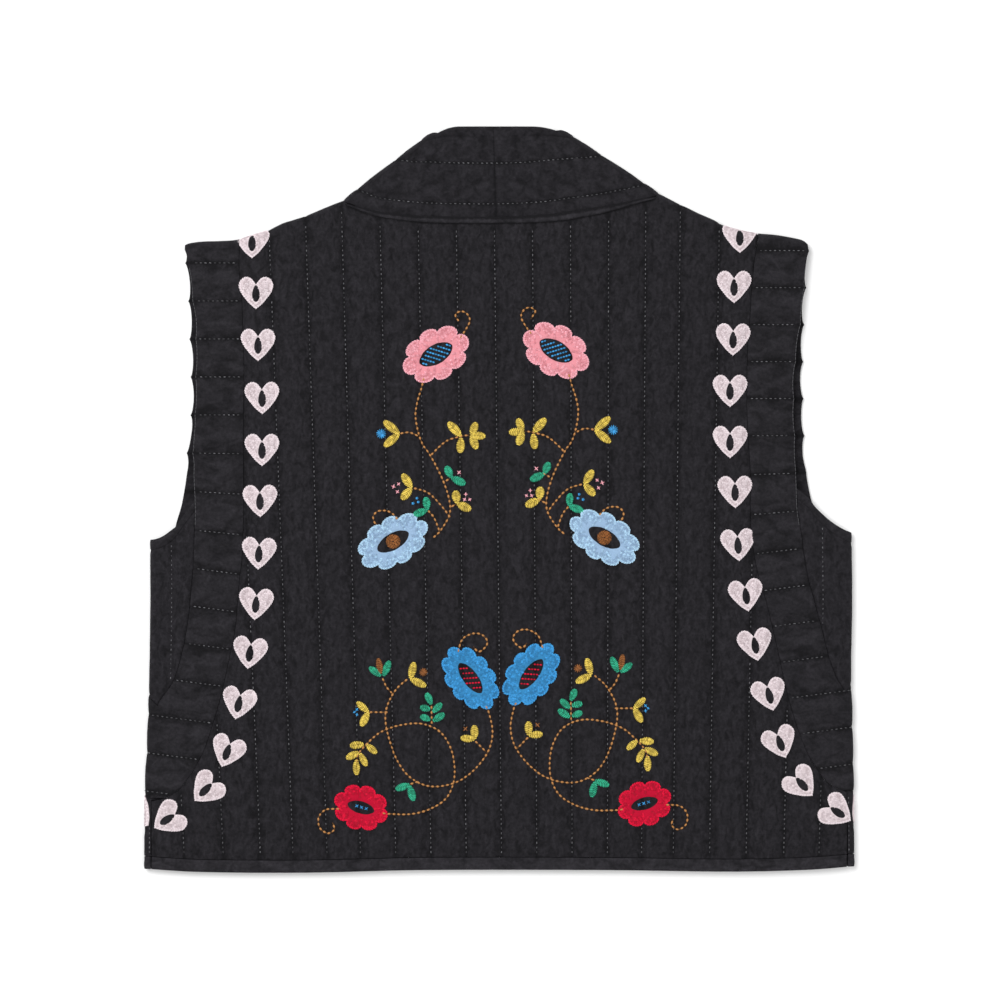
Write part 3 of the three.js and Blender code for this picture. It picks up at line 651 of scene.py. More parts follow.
panel_columns = [*range(8), *[7 + share for share in evenly(0.0625, 1, 15)]]
fold_arounds = evenly(-FOLD_HALF_LENGTH, FOLD_HALF_LENGTH, 6)
for side in (left, right):
    first, spacing = PANEL_ROWS[side]
    levels = [first - (row - share) * spacing for row in range(16) for share in channel_shares]
    apex_level = side.apex
    for _ in range(4):
        apex_level = side.apex - panel_lean(side, side.back_edge(side.apex), apex_level)
    closer = [apex_level + WEDGE_TURN * i / 16 for i in range(17)]
    levels = [y for y in levels if side.bottom + 0.6 < y < side.top - 10 and abs(y - apex_level - 8) > 9.3]
    levels = sorted([side.bottom + 0.15, *levels, *closer, side.top - 9.6])
    roll = evenly(0, math.pi * FOLD_OUT, 7)
    panel_rows = [*[("back", y) for y in levels], *[("roll", d) for d in roll]]
    panel_rows += [("front", y) for y in [OVER_SHOULDER, *levels[::-1]]]

    def place_on_panel(column, row, side=side):
        part, y = row
        level = high = side.top if part == "roll" else y
        sense = 1 if part == "front" else -1
        for _ in range(4):
            edge = side.front_edge(high) if part == "front" else side.back_edge(high)
            seam = sense * side.around(side.seam(max(high, side.bottom)) + SEAM_GAP / 2, high)
            if part == "roll":
                edge = -side.around(side.edge(200), side.top)
            else:
                edge -= panel_bulge(side, part, edge, high)
            if column <= 7:
                around = edge if column == 0 or sense < 0 else max(edge, fold_arounds[int(column) - 1])
            else:
                start = edge if sense < 0 else max(edge, FOLD_HALF_LENGTH)
                around = mix(start, seam, column - 7)
            if part != "roll":
                high = level + panel_lean(side, around, level)
        distance = side.distance(around, side.top)
        fold = side.shoulder(distance) - FOLD_OUT
        return side, part, around, fold + y if part == "roll" else min(high, fold)

    # painted shade along the crosswise rows of stitches
    def panel_painted_shade(side, part, around, y):
        return groove_shade(panel_row_share(side, around, y)) if part != "roll" else 0

    bm = gauze_cloth(panel_columns, panel_rows, place_on_panel, panel_spot, panel_painted_shade)
    finish_cloth("side_panel_cloth_" + side.name, bm, "side_panel_" + side.name, panel_gauze)

# Under each arm a narrow wedge is folded round the side from the armhole down to a point, with a thin
# bound edge along the armhole. Its rows of stitches run up and down.
UNDERARM_BINDING = 7.5
# on each side, the way round the fold to the row on the back and to the one on the front
WEDGE_ROWS = {left: (-17, 17), right: (-23, 19)}


def underarm_corner(side, edge, inside, start, depth):
    """The height at which a free edge of the panel meets a line at a depth under the armhole."""
    around = start
    for _ in range(30):
        around = edge(side.armhole(around) - depth) + inside
    return side.armhole(around) - depth


def place_under_arm(side, around, height, depth):
    low_y = underarm_corner(side, side.back_edge, SEAM_GAP, side.armhole_ends[0], depth)
    high_y = underarm_corner(side, side.front_edge, -SEAM_GAP, side.armhole_ends[1], depth)
    low = side.back_edge(min(height, low_y)) + SEAM_GAP
    high = side.front_edge(min(height, high_y)) - SEAM_GAP
    around = clamp(around, low, high) if low < high else (low + high) / 2
    return side, around, min(height, side.armhole(around) - depth)


def wedge_spot(side, around, y):
    first, second = WEDGE_ROWS[side]
    share = (around - first) / (second - first)
    near = min(around - side.back_edge(y), side.front_edge(y) - around)
    near = min(near, side.armhole(around) - UNDERARM_BINDING - y + 0.4)
    soft = ease(near / 4)
    raised = puff(share) * mix(0.2, 1, soft)
    wall = mix(1.5, 2.9, raised) + crinkle(around, y, False, 11.3) * 0.7 * soft
    return lie_round(side, around, y, wall, under_wall(raised))


def binding_spot(side, around, y):
    depth = clamp((side.armhole(around) - y) / UNDERARM_BINDING)
    wall = 2.1 + 0.9 * math.sin(math.pi * mix(0.12, 0.9, depth)) + 0.5 * crinkle(around, y, True, 13)
    return lie_round(side, around, y, wall, FLAT_WALL)


wedge_arounds = sorted([*evenly(-50, -5, 28), *fold_arounds, *evenly(5, 40, 22)])
binding_arounds = sorted([*evenly(-50, -5, 36), *fold_arounds, *evenly(5, 40, 22)])
wedges, underarm_bindings = {}, {}
for side in (left, right):
    heights = [*evenly(side.apex + 0.5, side.apex + WEDGE_TURN, 8), *evenly(side.apex + 19, 12, 56)]

    def place_wedge(around, height, side=side):
        return place_under_arm(side, around, height, UNDERARM_BINDING - 0.8)

    def place_binding(around, depth, side=side):
        return place_under_arm(side, around, 240, depth)

    bm = gauze_cloth(wedge_arounds, heights, place_wedge, wedge_spot)
    name = "underarm_wedge_cloth_" + side.name
    wedges[side] = finish_cloth(name, bm, "underarm_wedge_" + side.name, back_gauze, STRIP_THICKNESS)
    bm = gauze_cloth(binding_arounds, evenly(UNDERARM_BINDING, 0, 6), place_binding, binding_spot)
    name = "underarm_binding_cloth_" + side.name
    node = "underarm_binding_" + side.name
    underarm_bindings[side] = finish_cloth(name, bm, node, panel_gauze, STRIP_THICKNESS)

# The collar is a broad straight band in two halves, seamed at the centre back. Each half folds over to the
# front along a slope and runs down the front edge to the hem, with rows of stitches along its length.
COLLAR_WIDTH = 70
COLLAR_TOP = 289.6
COLLAR_SEAM = (-2.4, -4.8)
# each half folds over along the line between two places
COLLAR_FOLDS = {left: ((-121, 233.4), (-54, 284.8)), right: ((124, 238.6), (50.5, 287))}
COLLAR_ROWS = [0, 0.156, 0.6, 0.89, 1]
# the band's length behind the neck, round each degree of its fold, and where it comes out on the front
NECK_LENGTH, DEGREE_LENGTH, FRONT_START = 120, 0.08, 135
# heights on a front: where the band starts, where it has turned upright, and where it stands on the hem
BAND_TOP, BAND_TURN, BAND_FOOT = 230, 214, -270
FOLD_SLIP = 5
collar_lean = line_through([
    (-300, 0), (-20, 0), (5, 2), (30, 6), (60, 10.5), (95, 14), (130, 17), (165, 21), (195, 26), (214, 31),
])
collar_width = line_through([(-300, 70), (165, 70), (195, 73), (214, 78)])


def collar_fold(side):
    """The two ends of the fold, the way along it, and the way out from it."""
    low, high = (Vector(at) for at in COLLAR_FOLDS[side])
    slope = (high - low).normalized()
    out = Vector((side.sign * abs(slope.y), abs(slope.x)))
    return low - out * FOLD_OUT, high - out * FOLD_OUT, slope, out


def collar_station(side, part, along):
    """The seam end and the free end of the band, how far round the fold it is, and the way it faces."""
    fold_low, fold_high, slope, _ = collar_fold(side)
    if part == "back":
        low_start, high_start = (x - side.sign * 0.1 for x in COLLAR_SEAM)
        end = fold_high + slope * FOLD_SLIP
        seam_x = mix(low_start, fold_low.x, along)
        seam_y = mix(neck_above(seam_x) - TUCK, fold_low.y, ease((along - 0.9) / 0.1))
        fall = clamp((along - 0.6) / 0.4) ** 2
        edge = Vector((mix(high_start, end.x, along), mix(COLLAR_TOP, end.y, fall)))
        return Vector((seam_x, seam_y)), edge, 90
    if part == "fold":
        return fold_low, fold_high + slope * (FOLD_SLIP * along / 90), along
    lean = math.radians(collar_lean(along))
    edge_out = max(collar_seam(along) - collar_width(along) * math.cos(lean), 0.4)
    rise = collar_width(along) * math.sin(lean)
    ends = Vector((side.sign * collar_seam(along), along)), Vector((side.sign * edge_out, along + rise))
    if along > BAND_TURN:
        share = (along - BAND_TURN) / (BAND_TOP - BAND_TURN)
        ends = ends[0].lerp(fold_low, share), ends[1].lerp(fold_high - slope * FOLD_SLIP, share)
    return *ends, -90


def collar_spot(side, part, along, share, p, q):
    seam, edge, turn = collar_station(side, part, along)
    if part == "front" and along < BAND_FOOT:
        seam.y = edge.y = along
    place = seam.lerp(edge, share)
    if part == "front":
        place.y = max(place.y, hem_line(place.x))
    row = max(i for i in range(4) if COLLAR_ROWS[i] <= share)
    within = (share - COLLAR_ROWS[row]) / (COLLAR_ROWS[row + 1] - COLLAR_ROWS[row])
    near = min(share, 1.02 - share, 1) * COLLAR_WIDTH
    if part == "back":
        near = min(near, abs(place.x - mix(*COLLAR_SEAM, share)) + 0.4)
    soft = ease(near / 5)
    raised = puff(min(within, 0.9999)) * mix(0.3, 1, soft)
    wall = mix(STITCHED_WALL, 3.3, raised) + crinkle(p, q, True, 17.2) * mix(0.4, 1, soft)
    return lie(place.x, place.y, turn, wall_at(turn, wall, 2.95 - 0.25 * (1 - raised)), collar_fold(side)[3])


def collar_painted_shade(side, part, along, share, p, q):
    """Painted shade along its rows of stitches and beside the seam at the centre back."""
    depth = 1 - along * NECK_LENGTH / 2.2 if part == "back" else 0
    for row in COLLAR_ROWS[1:4]:
        fainter = 0.6 if row > 0.8 else 0
        depth = max(depth, 1 - abs(share - row) * COLLAR_WIDTH / 1.8 - fainter)
    return clamp(depth) ** 1.5


collar_gauze = gauze_material(
    "black double gauze of the collar", (0.0054, 0.0051, 0.0062), (0.0265, 0.0247, 0.0293), 1.0,
)
beside_rows = [share + d for share in COLLAR_ROWS[1:4] for d in (-0.02, 0.02)]
collar_shares = sorted({*evenly(0, 1, 26), *COLLAR_ROWS, *beside_rows})
for side in (left, right):
    stations = [("back", along) for along in [0, 0.006, 0.014, *evenly(0.025, 1, 39)]]
    stations += [("fold", turn) for turn in evenly(75, -75, 10)]
    stations += [("front", y) for y in [*evenly(BAND_TOP, BAND_FOOT, 150), *evenly(-273, -289.9, 5)]]

    def place_collar(share, station, side=side):
        part, along = station
        if part == "back":
            seam, edge, _ = collar_station(side, part, along)
            at = seam.lerp(edge, share)
            return side, part, along, share, abs(at.x), at.y - COLLAR_TOP + COLLAR_WIDTH
        length = FRONT_START + BAND_TOP - along
        if part == "fold":
            length = NECK_LENGTH + (90 - along) * DEGREE_LENGTH
        return side, part, along, share, length, share * COLLAR_WIDTH

    bm = gauze_cloth(collar_shares, stations, place_collar, collar_spot, collar_painted_shade)
    finish_cloth("collar_cloth_" + side.name, bm, "collar_" + side.name, collar_gauze)

# A narrow bound strip covers the neck seam at the back, and a turned-up hem finishes the bottom edge all
# the way round.
NECK_ENDS = (-118.4, 121.6)
NECK_BINDING = 5.5
strip_gauze = gauze_material(
    "black double gauze of the strips", (0.0074, 0.007, 0.0084), (0.0375, 0.035, 0.041), 0.8,
)


def place_on_strip(x, rise):
    return x, rise


def neck_binding_spot(x, rise):
    up = rise / NECK_BINDING
    y = mix(neck_below(x) + SEAM_GAP / 2, neck_above(x), up)
    wall = 2.4 + 1.2 * math.sin(math.pi * mix(0.1, 0.9, up)) + 0.4 * crinkle(x, y, True, 19)
    return lie(x, y, 90, wall)


def neck_binding_painted_shade(x, rise):
    """Painted shade along its seam with the back and under the edge of the collar."""
    return 1.3 * clamp(max(1 - rise, (rise - 2.9) / 1.4))


rises = evenly(0, NECK_BINDING, 8)
bm = gauze_cloth(evenly(*NECK_ENDS, 120), rises, place_on_strip, neck_binding_spot, neck_binding_painted_shade)
neck_binding = finish_cloth("neck_binding_cloth", bm, "neck_binding", strip_gauze, STRIP_THICKNESS)
HEM_STITCHES = 0.72
BELOW_PANEL = 50


def hem_profile(up):
    """How far the hem stands up: a full roll, then a low one between its stitches and its seam."""
    if up < HEM_STITCHES:
        return 0.9 * math.sin(math.pi * clamp(up / HEM_STITCHES, 0.03, 0.97))
    return 0.35 * math.sin(math.pi * (up - HEM_STITCHES) / (1 - HEM_STITCHES))


def back_hem_spot(x, rise):
    up = rise / HEM_HEIGHT
    y = hem_line(x) + up * (HEM_HEIGHT - SEAM_GAP / 2)
    return lie(x, y, 90, 2.3 + hem_profile(up) + 0.5 * crinkle(x, y * 2, False, 23))


def front_hem_spot(side, around, rise):
    up = rise / HEM_HEIGHT
    y = side.bottom - BELOW_PANEL
    distance = side.silhouette(y) - FOLD_OUT - max(abs(around) - FOLD_HALF_LENGTH, 0)
    height = hem_line(side.sign * distance) + up * (HEM_HEIGHT - SEAM_GAP / 2)
    return lie_round(side, around, height, 2.4 + 0.7 * hem_profile(up), FLAT_WALL)


hem_rises = [HEM_HEIGHT * up for up in (0, 0.06, 0.14, 0.24, 0.36, 0.5, 0.62, HEM_STITCHES, 0.8, 0.9, 1)]
hem_ends = [side.silhouette(side.bottom) - FOLD_OUT - SIDE_FLAP for side in (left, right)]
bm = gauze_cloth(evenly(-hem_ends[0], hem_ends[1], 260), hem_rises, place_on_strip, back_hem_spot)
back_hem = finish_cloth("hem_cloth_back", bm, "hem_back", strip_gauze, STRIP_THICKNESS)
for side in (left, right):
    end = side.around(COLLAR_WIDTH + 0.7, side.bottom - BELOW_PANEL)
    arounds = [-5.6, *fold_arounds, *evenly(6, end, 80)]
    bm = gauze_cloth(arounds, hem_rises, lambda around, rise, side=side: (side, around, rise), front_hem_spot)
    name, node = "hem_cloth_front_" + side.name, "hem_front_" + side.name
    finish_cloth(name, bm, node, strip_gauze, STRIP_THICKNESS)

# The border: a row of hearts runs beside each side panel's seam, down the back and round the side to the
# front. Each heart is laid thread under rows of chain stitch that follow its outline, with a drop left open.
THREAD_LIFT = 0.42
CHAIN_PITCH = 1.9
CHAIN_ROW = 1.45


def seed(name, ellipsoids, segments, rings):
    """One small stitch to repeat, made of plump strands: place, turn, length, width, height."""
    bm = bmesh.new()
    for x, y, turn, length, width, height in ellipsoids:
        shape = Matrix.Translation((x * MM, y * MM, 0)) @ Matrix.Rotation(math.radians(turn), 4, "Z")
        shape = shape @ Matrix.Diagonal((length * MM / 2, width * MM / 2, height * MM / 2, 1))
        shape = shape @ Matrix.Rotation(math.pi / 2, 4, "Y")
        bmesh.ops.create_uvsphere(bm, u_segments=segments, v_segments=rings, radius=1, matrix=shape)
    for face in bm.faces:
        face.smooth = True
    return bpy.data.objects.new(name, mesh_of(name, bm))


def needle_group():
    """Sets a stitch on every point, turned, sized and shaded as the point says."""
    group = bpy.data.node_groups.new("needle", "GeometryNodeTree")
    group.interface.new_socket(name="Points", in_out="INPUT", socket_type="NodeSocketGeometry")
    group.interface.new_socket(name="Stitch", in_out="INPUT", socket_type="NodeSocketObject")
    group.interface.new_socket(name="Stitches", in_out="OUTPUT", socket_type="NodeSocketGeometry")
    given = group.nodes.new("NodeGroupInput")
    result = group.nodes.new("NodeGroupOutput")
    setting = group.nodes.new("GeometryNodeInstanceOnPoints")
    group.links.new(given.outputs["Points"], setting.inputs["Points"])
    stitch = group.nodes.new("GeometryNodeObjectInfo")
    group.links.new(given.outputs["Stitch"], stitch.inputs["Object"])
    group.links.new(stitch.outputs["Geometry"], setting.inputs["Instance"])
    for label, kind, socket in (("turned", "QUATERNION", "Rotation"), ("size", "FLOAT_VECTOR", "Scale")):
        read = group.nodes.new("GeometryNodeInputNamedAttribute")
        read.data_type = kind
        read.inputs["Name"].default_value = label
        group.links.new(read.outputs["Attribute"], setting.inputs[socket])
    whole = group.nodes.new("GeometryNodeRealizeInstances")
    group.links.new(setting.outputs[0], whole.inputs[0])
    group.links.new(whole.outputs[0], result.inputs[0])
    return group


needle = needle_group()


def sew(name, stitch, places, material):
    """Sews one stitch at every place of a list and leaves a plain mesh of them."""
    points = bpy.data.meshes.new(name)
    points.from_pydata([place[0] * MM for place in places], [], [])
    kinds = ("turned", "QUATERNION", "value"), ("size", "FLOAT_VECTOR", "vector"), ("shade", "FLOAT", "value")
    for column, (label, kind, field) in enumerate(kinds, start=1):
        entries = points.attributes.new(label, kind, "POINT").data
        for entry, place in zip(entries, places):
            setattr(entry, field, place[column])
    piece = bpy.data.objects.new(name, points)
    bpy.context.scene.collection.objects.link(piece)
    sewing = piece.modifiers.new("needle", "NODES")
    sewing.node_group = needle
    sewing[needle.interface.items_tree["Stitch"].identifier] = stitch
    bpy.context.view_layer.update()
    ready = piece.evaluated_get(bpy.context.evaluated_depsgraph_get())
    mesh = bpy.data.meshes.new_from_object(ready)
    mesh.name = name
    piece.modifiers.clear()
    piece.data = mesh
    bpy.data.meshes.remove(points)
    mesh.materials.clear()
    mesh.materials.append(material)
    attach(piece, "root")
    return piece


def stitch_at(spot, p, q, angle, lift=THREAD_LIFT, size=(1, 1, 1), tone=None):
    """One stitch on the cloth at p, q, along an angle, as its place, turn, size and tone."""
    here = spot(p, q)
    ahead = spot(p + 0.4 * math.cos(angle), q + 0.4 * math.sin(angle)) - here
    beside = spot(p - 0.4 * math.sin(angle), q + 0.4 * math.cos(angle)) - here
    normal = ahead.cross(beside).normalized()
    ahead.normalize()
    turn = Matrix((ahead, normal.cross(ahead), normal)).transposed().to_quaternion()
    tone = noise.cell(Vector((p * 3.1, q * 3.1, angle))) if tone is None else tone
    return here + normal * lift, turn, size, tone


def thread_material(name, deep, pale, roughness=0.55):
    """Soft cotton thread with a fine twist, each stitch a slightly different tone."""
    material = bpy.data.materials.new(name)
    material.use_nodes = True
    tree = material.node_tree
    set_values(tree.nodes["Principled BSDF"], {"Roughness": roughness, "Specular IOR Level": 0.2})
    tone = new_node(tree, "ShaderNodeAttribute", attribute_name="shade")
    place = new_node(tree, "ShaderNodeTexCoord")
    fibre = new_node(tree, "ShaderNodeTexNoise", {"Scale": 1300.0, "Detail": 3.0})
    broad = new_node(tree, "ShaderNodeTexNoise", {"Scale": 330.0})
    for texture in (fibre, broad):
        tree.links.new(place.outputs["Object"], texture.inputs["Vector"])
    grain = math_node(tree, "SUBTRACT", math_node(tree, "MULTIPLY", fibre.outputs["Fac"], 1.5), 0.5)
    share = math_node(tree, "ADD", math_node(tree, "MULTIPLY", tone.outputs["Fac"], 0.55), grain)
    share = math_node(tree, "ADD", share, math_node(tree, "MULTIPLY", broad.outputs["Fac"], 0.1))
    colour_and_bump(tree, share, deep, pale, fibre.outputs["Fac"], 0.5, 0.0001)
    return material


def inside(outline, p, q):
    """Whether a place lies within a closed outline."""
    found = False
    for (ax, ay), (bx, by) in zip(outline, [*outline[1:], outline[0]]):
        if (ay > q) != (by > q) and p < ax + (q - ay) / (by - ay) * (bx - ax):
            found = not found
    return found


def nearest(outline):
    """A reader of the distance from any place to an outline."""
    tree = KDTree(len(outline))
    for i, (x, y) in enumerate(outline):
        tree.insert((x, y, 0), i)
    tree.balance()
    return lambda x, y: tree.find((x, y, 0))[2]


def dense(outline, step=0.35):
    """The same closed outline with points close together."""
    points = []
    for (ax, ay), (bx, by) in zip(outline, [*outline[1:], outline[0]]):
        count = max(1, round(math.hypot(bx - ax, by - ay) / step))
        points += [(mix(ax, bx, i / count), mix(ay, by, i / count)) for i in range(count)]
    return points


def chain_fill(outline, hole, row=CHAIN_ROW, pitch=CHAIN_PITCH):
    """The places and angles of chain stitches in rows inside an outline and clear of its hole."""
    rim = dense(outline)
    to_rim = nearest(rim)
    to_hole = nearest(dense(hole))
    places = []
    for level in range(16):
        depth = row * (level + 0.5)
        walked = pitch * (0.3 if level % 2 else 0.8)
        before = None
        for i in range(len(rim)):
            (ax, ay), (bx, by) = rim[i - 2], rim[(i + 2) % len(rim)]
            angle = math.atan2(by - ay, bx - ax)
            x = rim[i][0] - math.sin(angle) * depth
            y = rim[i][1] + math.cos(angle) * depth
            if to_rim(x, y) < depth - 0.3 or to_hole(x, y) < row * 0.42 or inside(hole, x, y):
                before = None
                continue
            if before:
                walked += math.hypot(x - before[0], y - before[1])
            before = (x, y)
            if walked >= pitch:
                walked -= pitch
                if all(math.hypot(x - px, y - py) > pitch * 0.45 for px, py, _, _ in places[-60:]):
                    places.append((x, y, angle, level))
    return places


def ground(name, shapes, material, height=0.34):
    """Laid thread under the stitches: each shape is a spot function, an outline and the hole in it."""
    bm = bmesh.new()
    for spot, outline, hole in shapes:
        rings = []
        for share in (0, 0.06, 0.35, 0.65, 0.94, 1):
            lift = -0.25 if share in (0, 1) else height
            places = [(mix(hx, ox, share), mix(hy, oy, share)) for (hx, hy), (ox, oy) in zip(hole, outline)]
            rings.append([bm.verts.new(spot(x, y, lift) * MM) for x, y in places])
        for low, high in zip(rings, rings[1:]):
            for i in range(len(low)):
                bm.faces.new((low[i - 1], high[i - 1], high[i], low[i])).smooth = True
    piece = piece_of(name, bm, material)
    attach(piece, "root")
    return piece


def lifted(spot, p, q, lift):
    """A place on the cloth, lifted off it."""
    here = spot(p, q)
    normal = (spot(p + 0.4, q) - here).cross(spot(p, q + 0.4) - here).normalized()
    return here + normal * lift


def put(spot, p, q, turn):
    """A spot function in a motif's own coordinates, moved to p, q and turned."""
    c, s = math.cos(turn), math.sin(turn)

    def moved(x, y, lift=0.0):
        here = p + c * x - s * y, q + s * x + c * y
        return lifted(spot, *here, lift) if lift else spot(*here)

    return moved


HEART_TOP, HEART_NOTCH, HEART_TIP, HEART_HALF = 11.9, 5.7, -13.3, 13.6
chain_strands = [(-0.05, 0.36, -15, 2.5, 0.82, 0.62), (-0.05, -0.36, 15, 2.5, 0.82, 0.62)]
chain_link = seed("chain link", chain_strands, 5, 3)


def smooth_path(points, step=0.4):
    """A smooth line through the points, as places close together."""
    ends = [points[0], *points, points[-1]]
    path = []
    for a, b, c, d in zip(ends, ends[1:], ends[2:], ends[3:]):
        count = max(2, round(math.dist(b, c) / step))
        for i in range(count):
            t = i / count
            of_a = (-t + 2 * t * t - t**3) / 2
            of_b = 1 - 2.5 * t * t + 1.5 * t**3
            of_c = t / 2 + 2 * t * t - 1.5 * t**3
            of_d = (t**3 - t * t) / 2
            path.append(tuple(of_a * a[k] + of_b * b[k] + of_c * c[k] + of_d * d[k] for k in (0, 1)))
    return [*path, points[-1]]


def half_heart():
    """The right half of a heart, from the notch over the lobe and down to the tip."""
    lobe = [
        (0.16, 0.74), (0.34, 0.93), (0.57, 0.99), (0.83, 0.84), (0.99, 0.5), (0.94, 0.16), (0.77, -0.17),
        (0.58, -0.42), (0.36, -0.69),
    ]
    shape = [(x * HEART_HALF, mix(0, HEART_TOP, y) if y > 0 else -y * HEART_TIP) for x, y in lobe]
    return smooth_path([(0, HEART_NOTCH), *shape, (0, HEART_TIP)], 1.3)


def heart_outline():
    half = half_heart()
    return [*[(-x, y) for x, y in half], *reversed(half[1:-1])]


def drop_outline(outline, high=5.2, low=-7.6, width=6.2):
    """A drop, pointed at both ends and fuller below, with one point for each point of the outline."""
    points = []
    for x, y in outline:
        turn = math.atan2(x, y + 1.5)
        share = (1 - math.cos(turn)) / 2
        fullness = 0.55 + 0.75 * share - 0.3 * share**3
        points.append((width / 2 * math.sin(turn) * fullness, mix(high, low, share)))
    return points


heart = heart_outline()
drop = drop_outline(heart)
heart_fill = chain_fill(heart, drop)
under_fill = chain_fill(heart, drop, CHAIN_ROW * 1.4, CHAIN_PITCH * 1.4)
pink_white = thread_material("pale pink thread", (0.54, 0.455, 0.475), (0.86, 0.765, 0.795), 0.75)
pink_white_ground = thread_material("pale pink ground thread", (0.63, 0.54, 0.56), (0.75, 0.655, 0.68), 0.9)

# each heart: distance from the centre line, height, and lean of its tip towards the side, in degrees
HEARTS = {
    left: [
        (191.9, 200.4, 0), (188.8, 161, 0), (187.2, 120.7, 0), (184.1, 79.5, -1), (184.1, 39.2, 0),
        (185.7, -0.4, -1), (186.5, -41.1, 3), (188.8, -80.3, 5), (193.5, -118.3, 8),
        (202, -157.5, 12), (210.8, -195, 20), (227, -224.4, 45), (256.6, -247.6, 57),
    ],
    right: [
        (186.6, 204.6, 0), (182.1, 165.7, 0), (181.4, 124.9, -1), (179, 85, 0), (179, 45.4, 0),
        (182.9, 6.6, 1), (185.2, -34.5, 4), (191.4, -73.7, 8), (198.4, -112.1, 10),
        (209.3, -150.9, 14), (217.6, -188, 20), (234, -220, 42), (261.5, -242, 57),
    ],
}


def front_place(side):
    """The front as a flat pattern: p grows to the right on the back and goes on round the fold."""
    return lambda p, q: front_spot(side, side.sign * p, q)


HEART_CLEARANCE = 13
covered = {"back": [], left: [], right: []}
for side in (left, right):
    sign = side.sign
    borders = [
        ("back", "back", back_spot, HEARTS[side], sign, heart_fill, (1, 1, 1)),
        ("front", side, front_place(side), FRONT_HEARTS[side], -sign, under_fill, (1.35, 1.5, 0.8)),
    ]
    for where, cloth, surface, hearts, sense, fill, size in borders:
        covered[cloth] += [(sign * x, y, HEART_CLEARANCE) for x, y, _ in hearts]
        spots = [put(surface, sign * x, y, math.radians(lean * sense)) for x, y, lean in hearts]
        places = []
        for spot in spots:
            for x, y, angle, level in fill:
                swirl = 0.7 * noise.noise(Vector((x * 0.5, y * 0.5, len(places) * 0.001))) if level else 0
                tone = None if level else 0.9
                places.append(stitch_at(spot, x, y, angle + swirl, THREAD_LIFT, size, tone))
        sew("heart_border_" + where + "_" + side.name, chain_link, places, pink_white)
        shapes = [(spot, heart, drop) for spot in spots]
        ground("heart_ground_" + where + "_" + side.name, shapes, pink_white_ground)

# The flowers: two sprays on each half of the back, mirrored, each between two flowers with scalloped petals.
# A flower is laid thread under rows of chain stitch, round an open eye that holds a few small stitches.
THREAD_COLOURS = {
    "pink": (0.86, 0.32, 0.37),
    "sky blue": (0.34, 0.505, 0.72),
    "blue": (0.04, 0.26, 0.545),
    "red": (0.56, 0.002, 0.031),
    "yellow": (0.66, 0.47, 0.08),
    "green": (0.026, 0.33, 0.192),
    "brown": (0.23, 0.085, 0.024),
    "tan": (0.325, 0.149, 0.048),
}
threads, grounds = {}, {}
for name, colour in THREAD_COLOURS.items():
    # the deep tone of the tan thread is near black: it colours the painted shade between the stem stitches
    deep = {"tan": 0.1, "yellow": 0.5, "green": 0.5}.get(name, 0.72)
    pale = [min(c * 1.5, 0.94) for c in colour]
    threads[name] = thread_material(name + " thread", [c * deep for c in colour], pale)
    grounds[name] = thread_material(name + " ground thread", [c * 0.72 for c in colour], colour, 0.9)
strand = seed("strand", [(0, 0, 0, 1, 1, 1)], 6, 4)
FLOWER_POINTS = 160


def centre_line(height):
    """The line that the two halves of the embroidery are mirrored about, in the way the cloth lies."""
    return -2.6 + (114 - height) * 0.0148


def design(side, out, height):
    """A place of the embroidery, by its distance out from the middle and its height."""
    return centre_line(height) + side.sign * out, height + (3 if side is right else 0)


def flower_outline(length, width, scallops, depth=0.25, start=0.35):
    """An ellipse with round petals, as arcs that meet in sharp notches."""
    points = []
    evenness = (length - width) / (length + width) / 2
    for i in range(FLOWER_POINTS):
        t = 2 * math.pi * i / FLOWER_POINTS
        across = 2 * ((scallops * i / FLOWER_POINTS + start) % 1) - 1
        t += evenness * math.sin(2 * t)
        bulge = 1 - depth + depth * math.sqrt(1 - (0.97 * across) ** 2)
        points.append((length / 2 * bulge * math.cos(t), width / 2 * bulge * math.sin(t)))
    return points


def eye_outline(length, width):
    angles = [2 * math.pi * i / FLOWER_POINTS for i in range(FLOWER_POINTS)]
    return [(length / 2 * math.cos(t), width / 2 * math.sin(t) * abs(math.sin(t)) ** 0.2) for t in angles]


def mirrored(outline):
    return [(-x, y) for x, y in reversed(outline)]


def dashes_in(outline, turn, row, pitch, inset=1.1):
    """Rows of short stitches within an outline: their places and angle."""
    to_rim = nearest(dense(outline))
    c, s = math.cos(turn), math.sin(turn)
    found = []
    for i in range(-6, 7):
        for j in range(-8, 9):
            x, y = (j + 0.25 * (i % 2)) * pitch, i * row
            x, y = c * x - s * y, s * x + c * y
            if inside(outline, x, y) and to_rim(x, y) > inset:
                found.append((x, y, turn, 1))
    return found


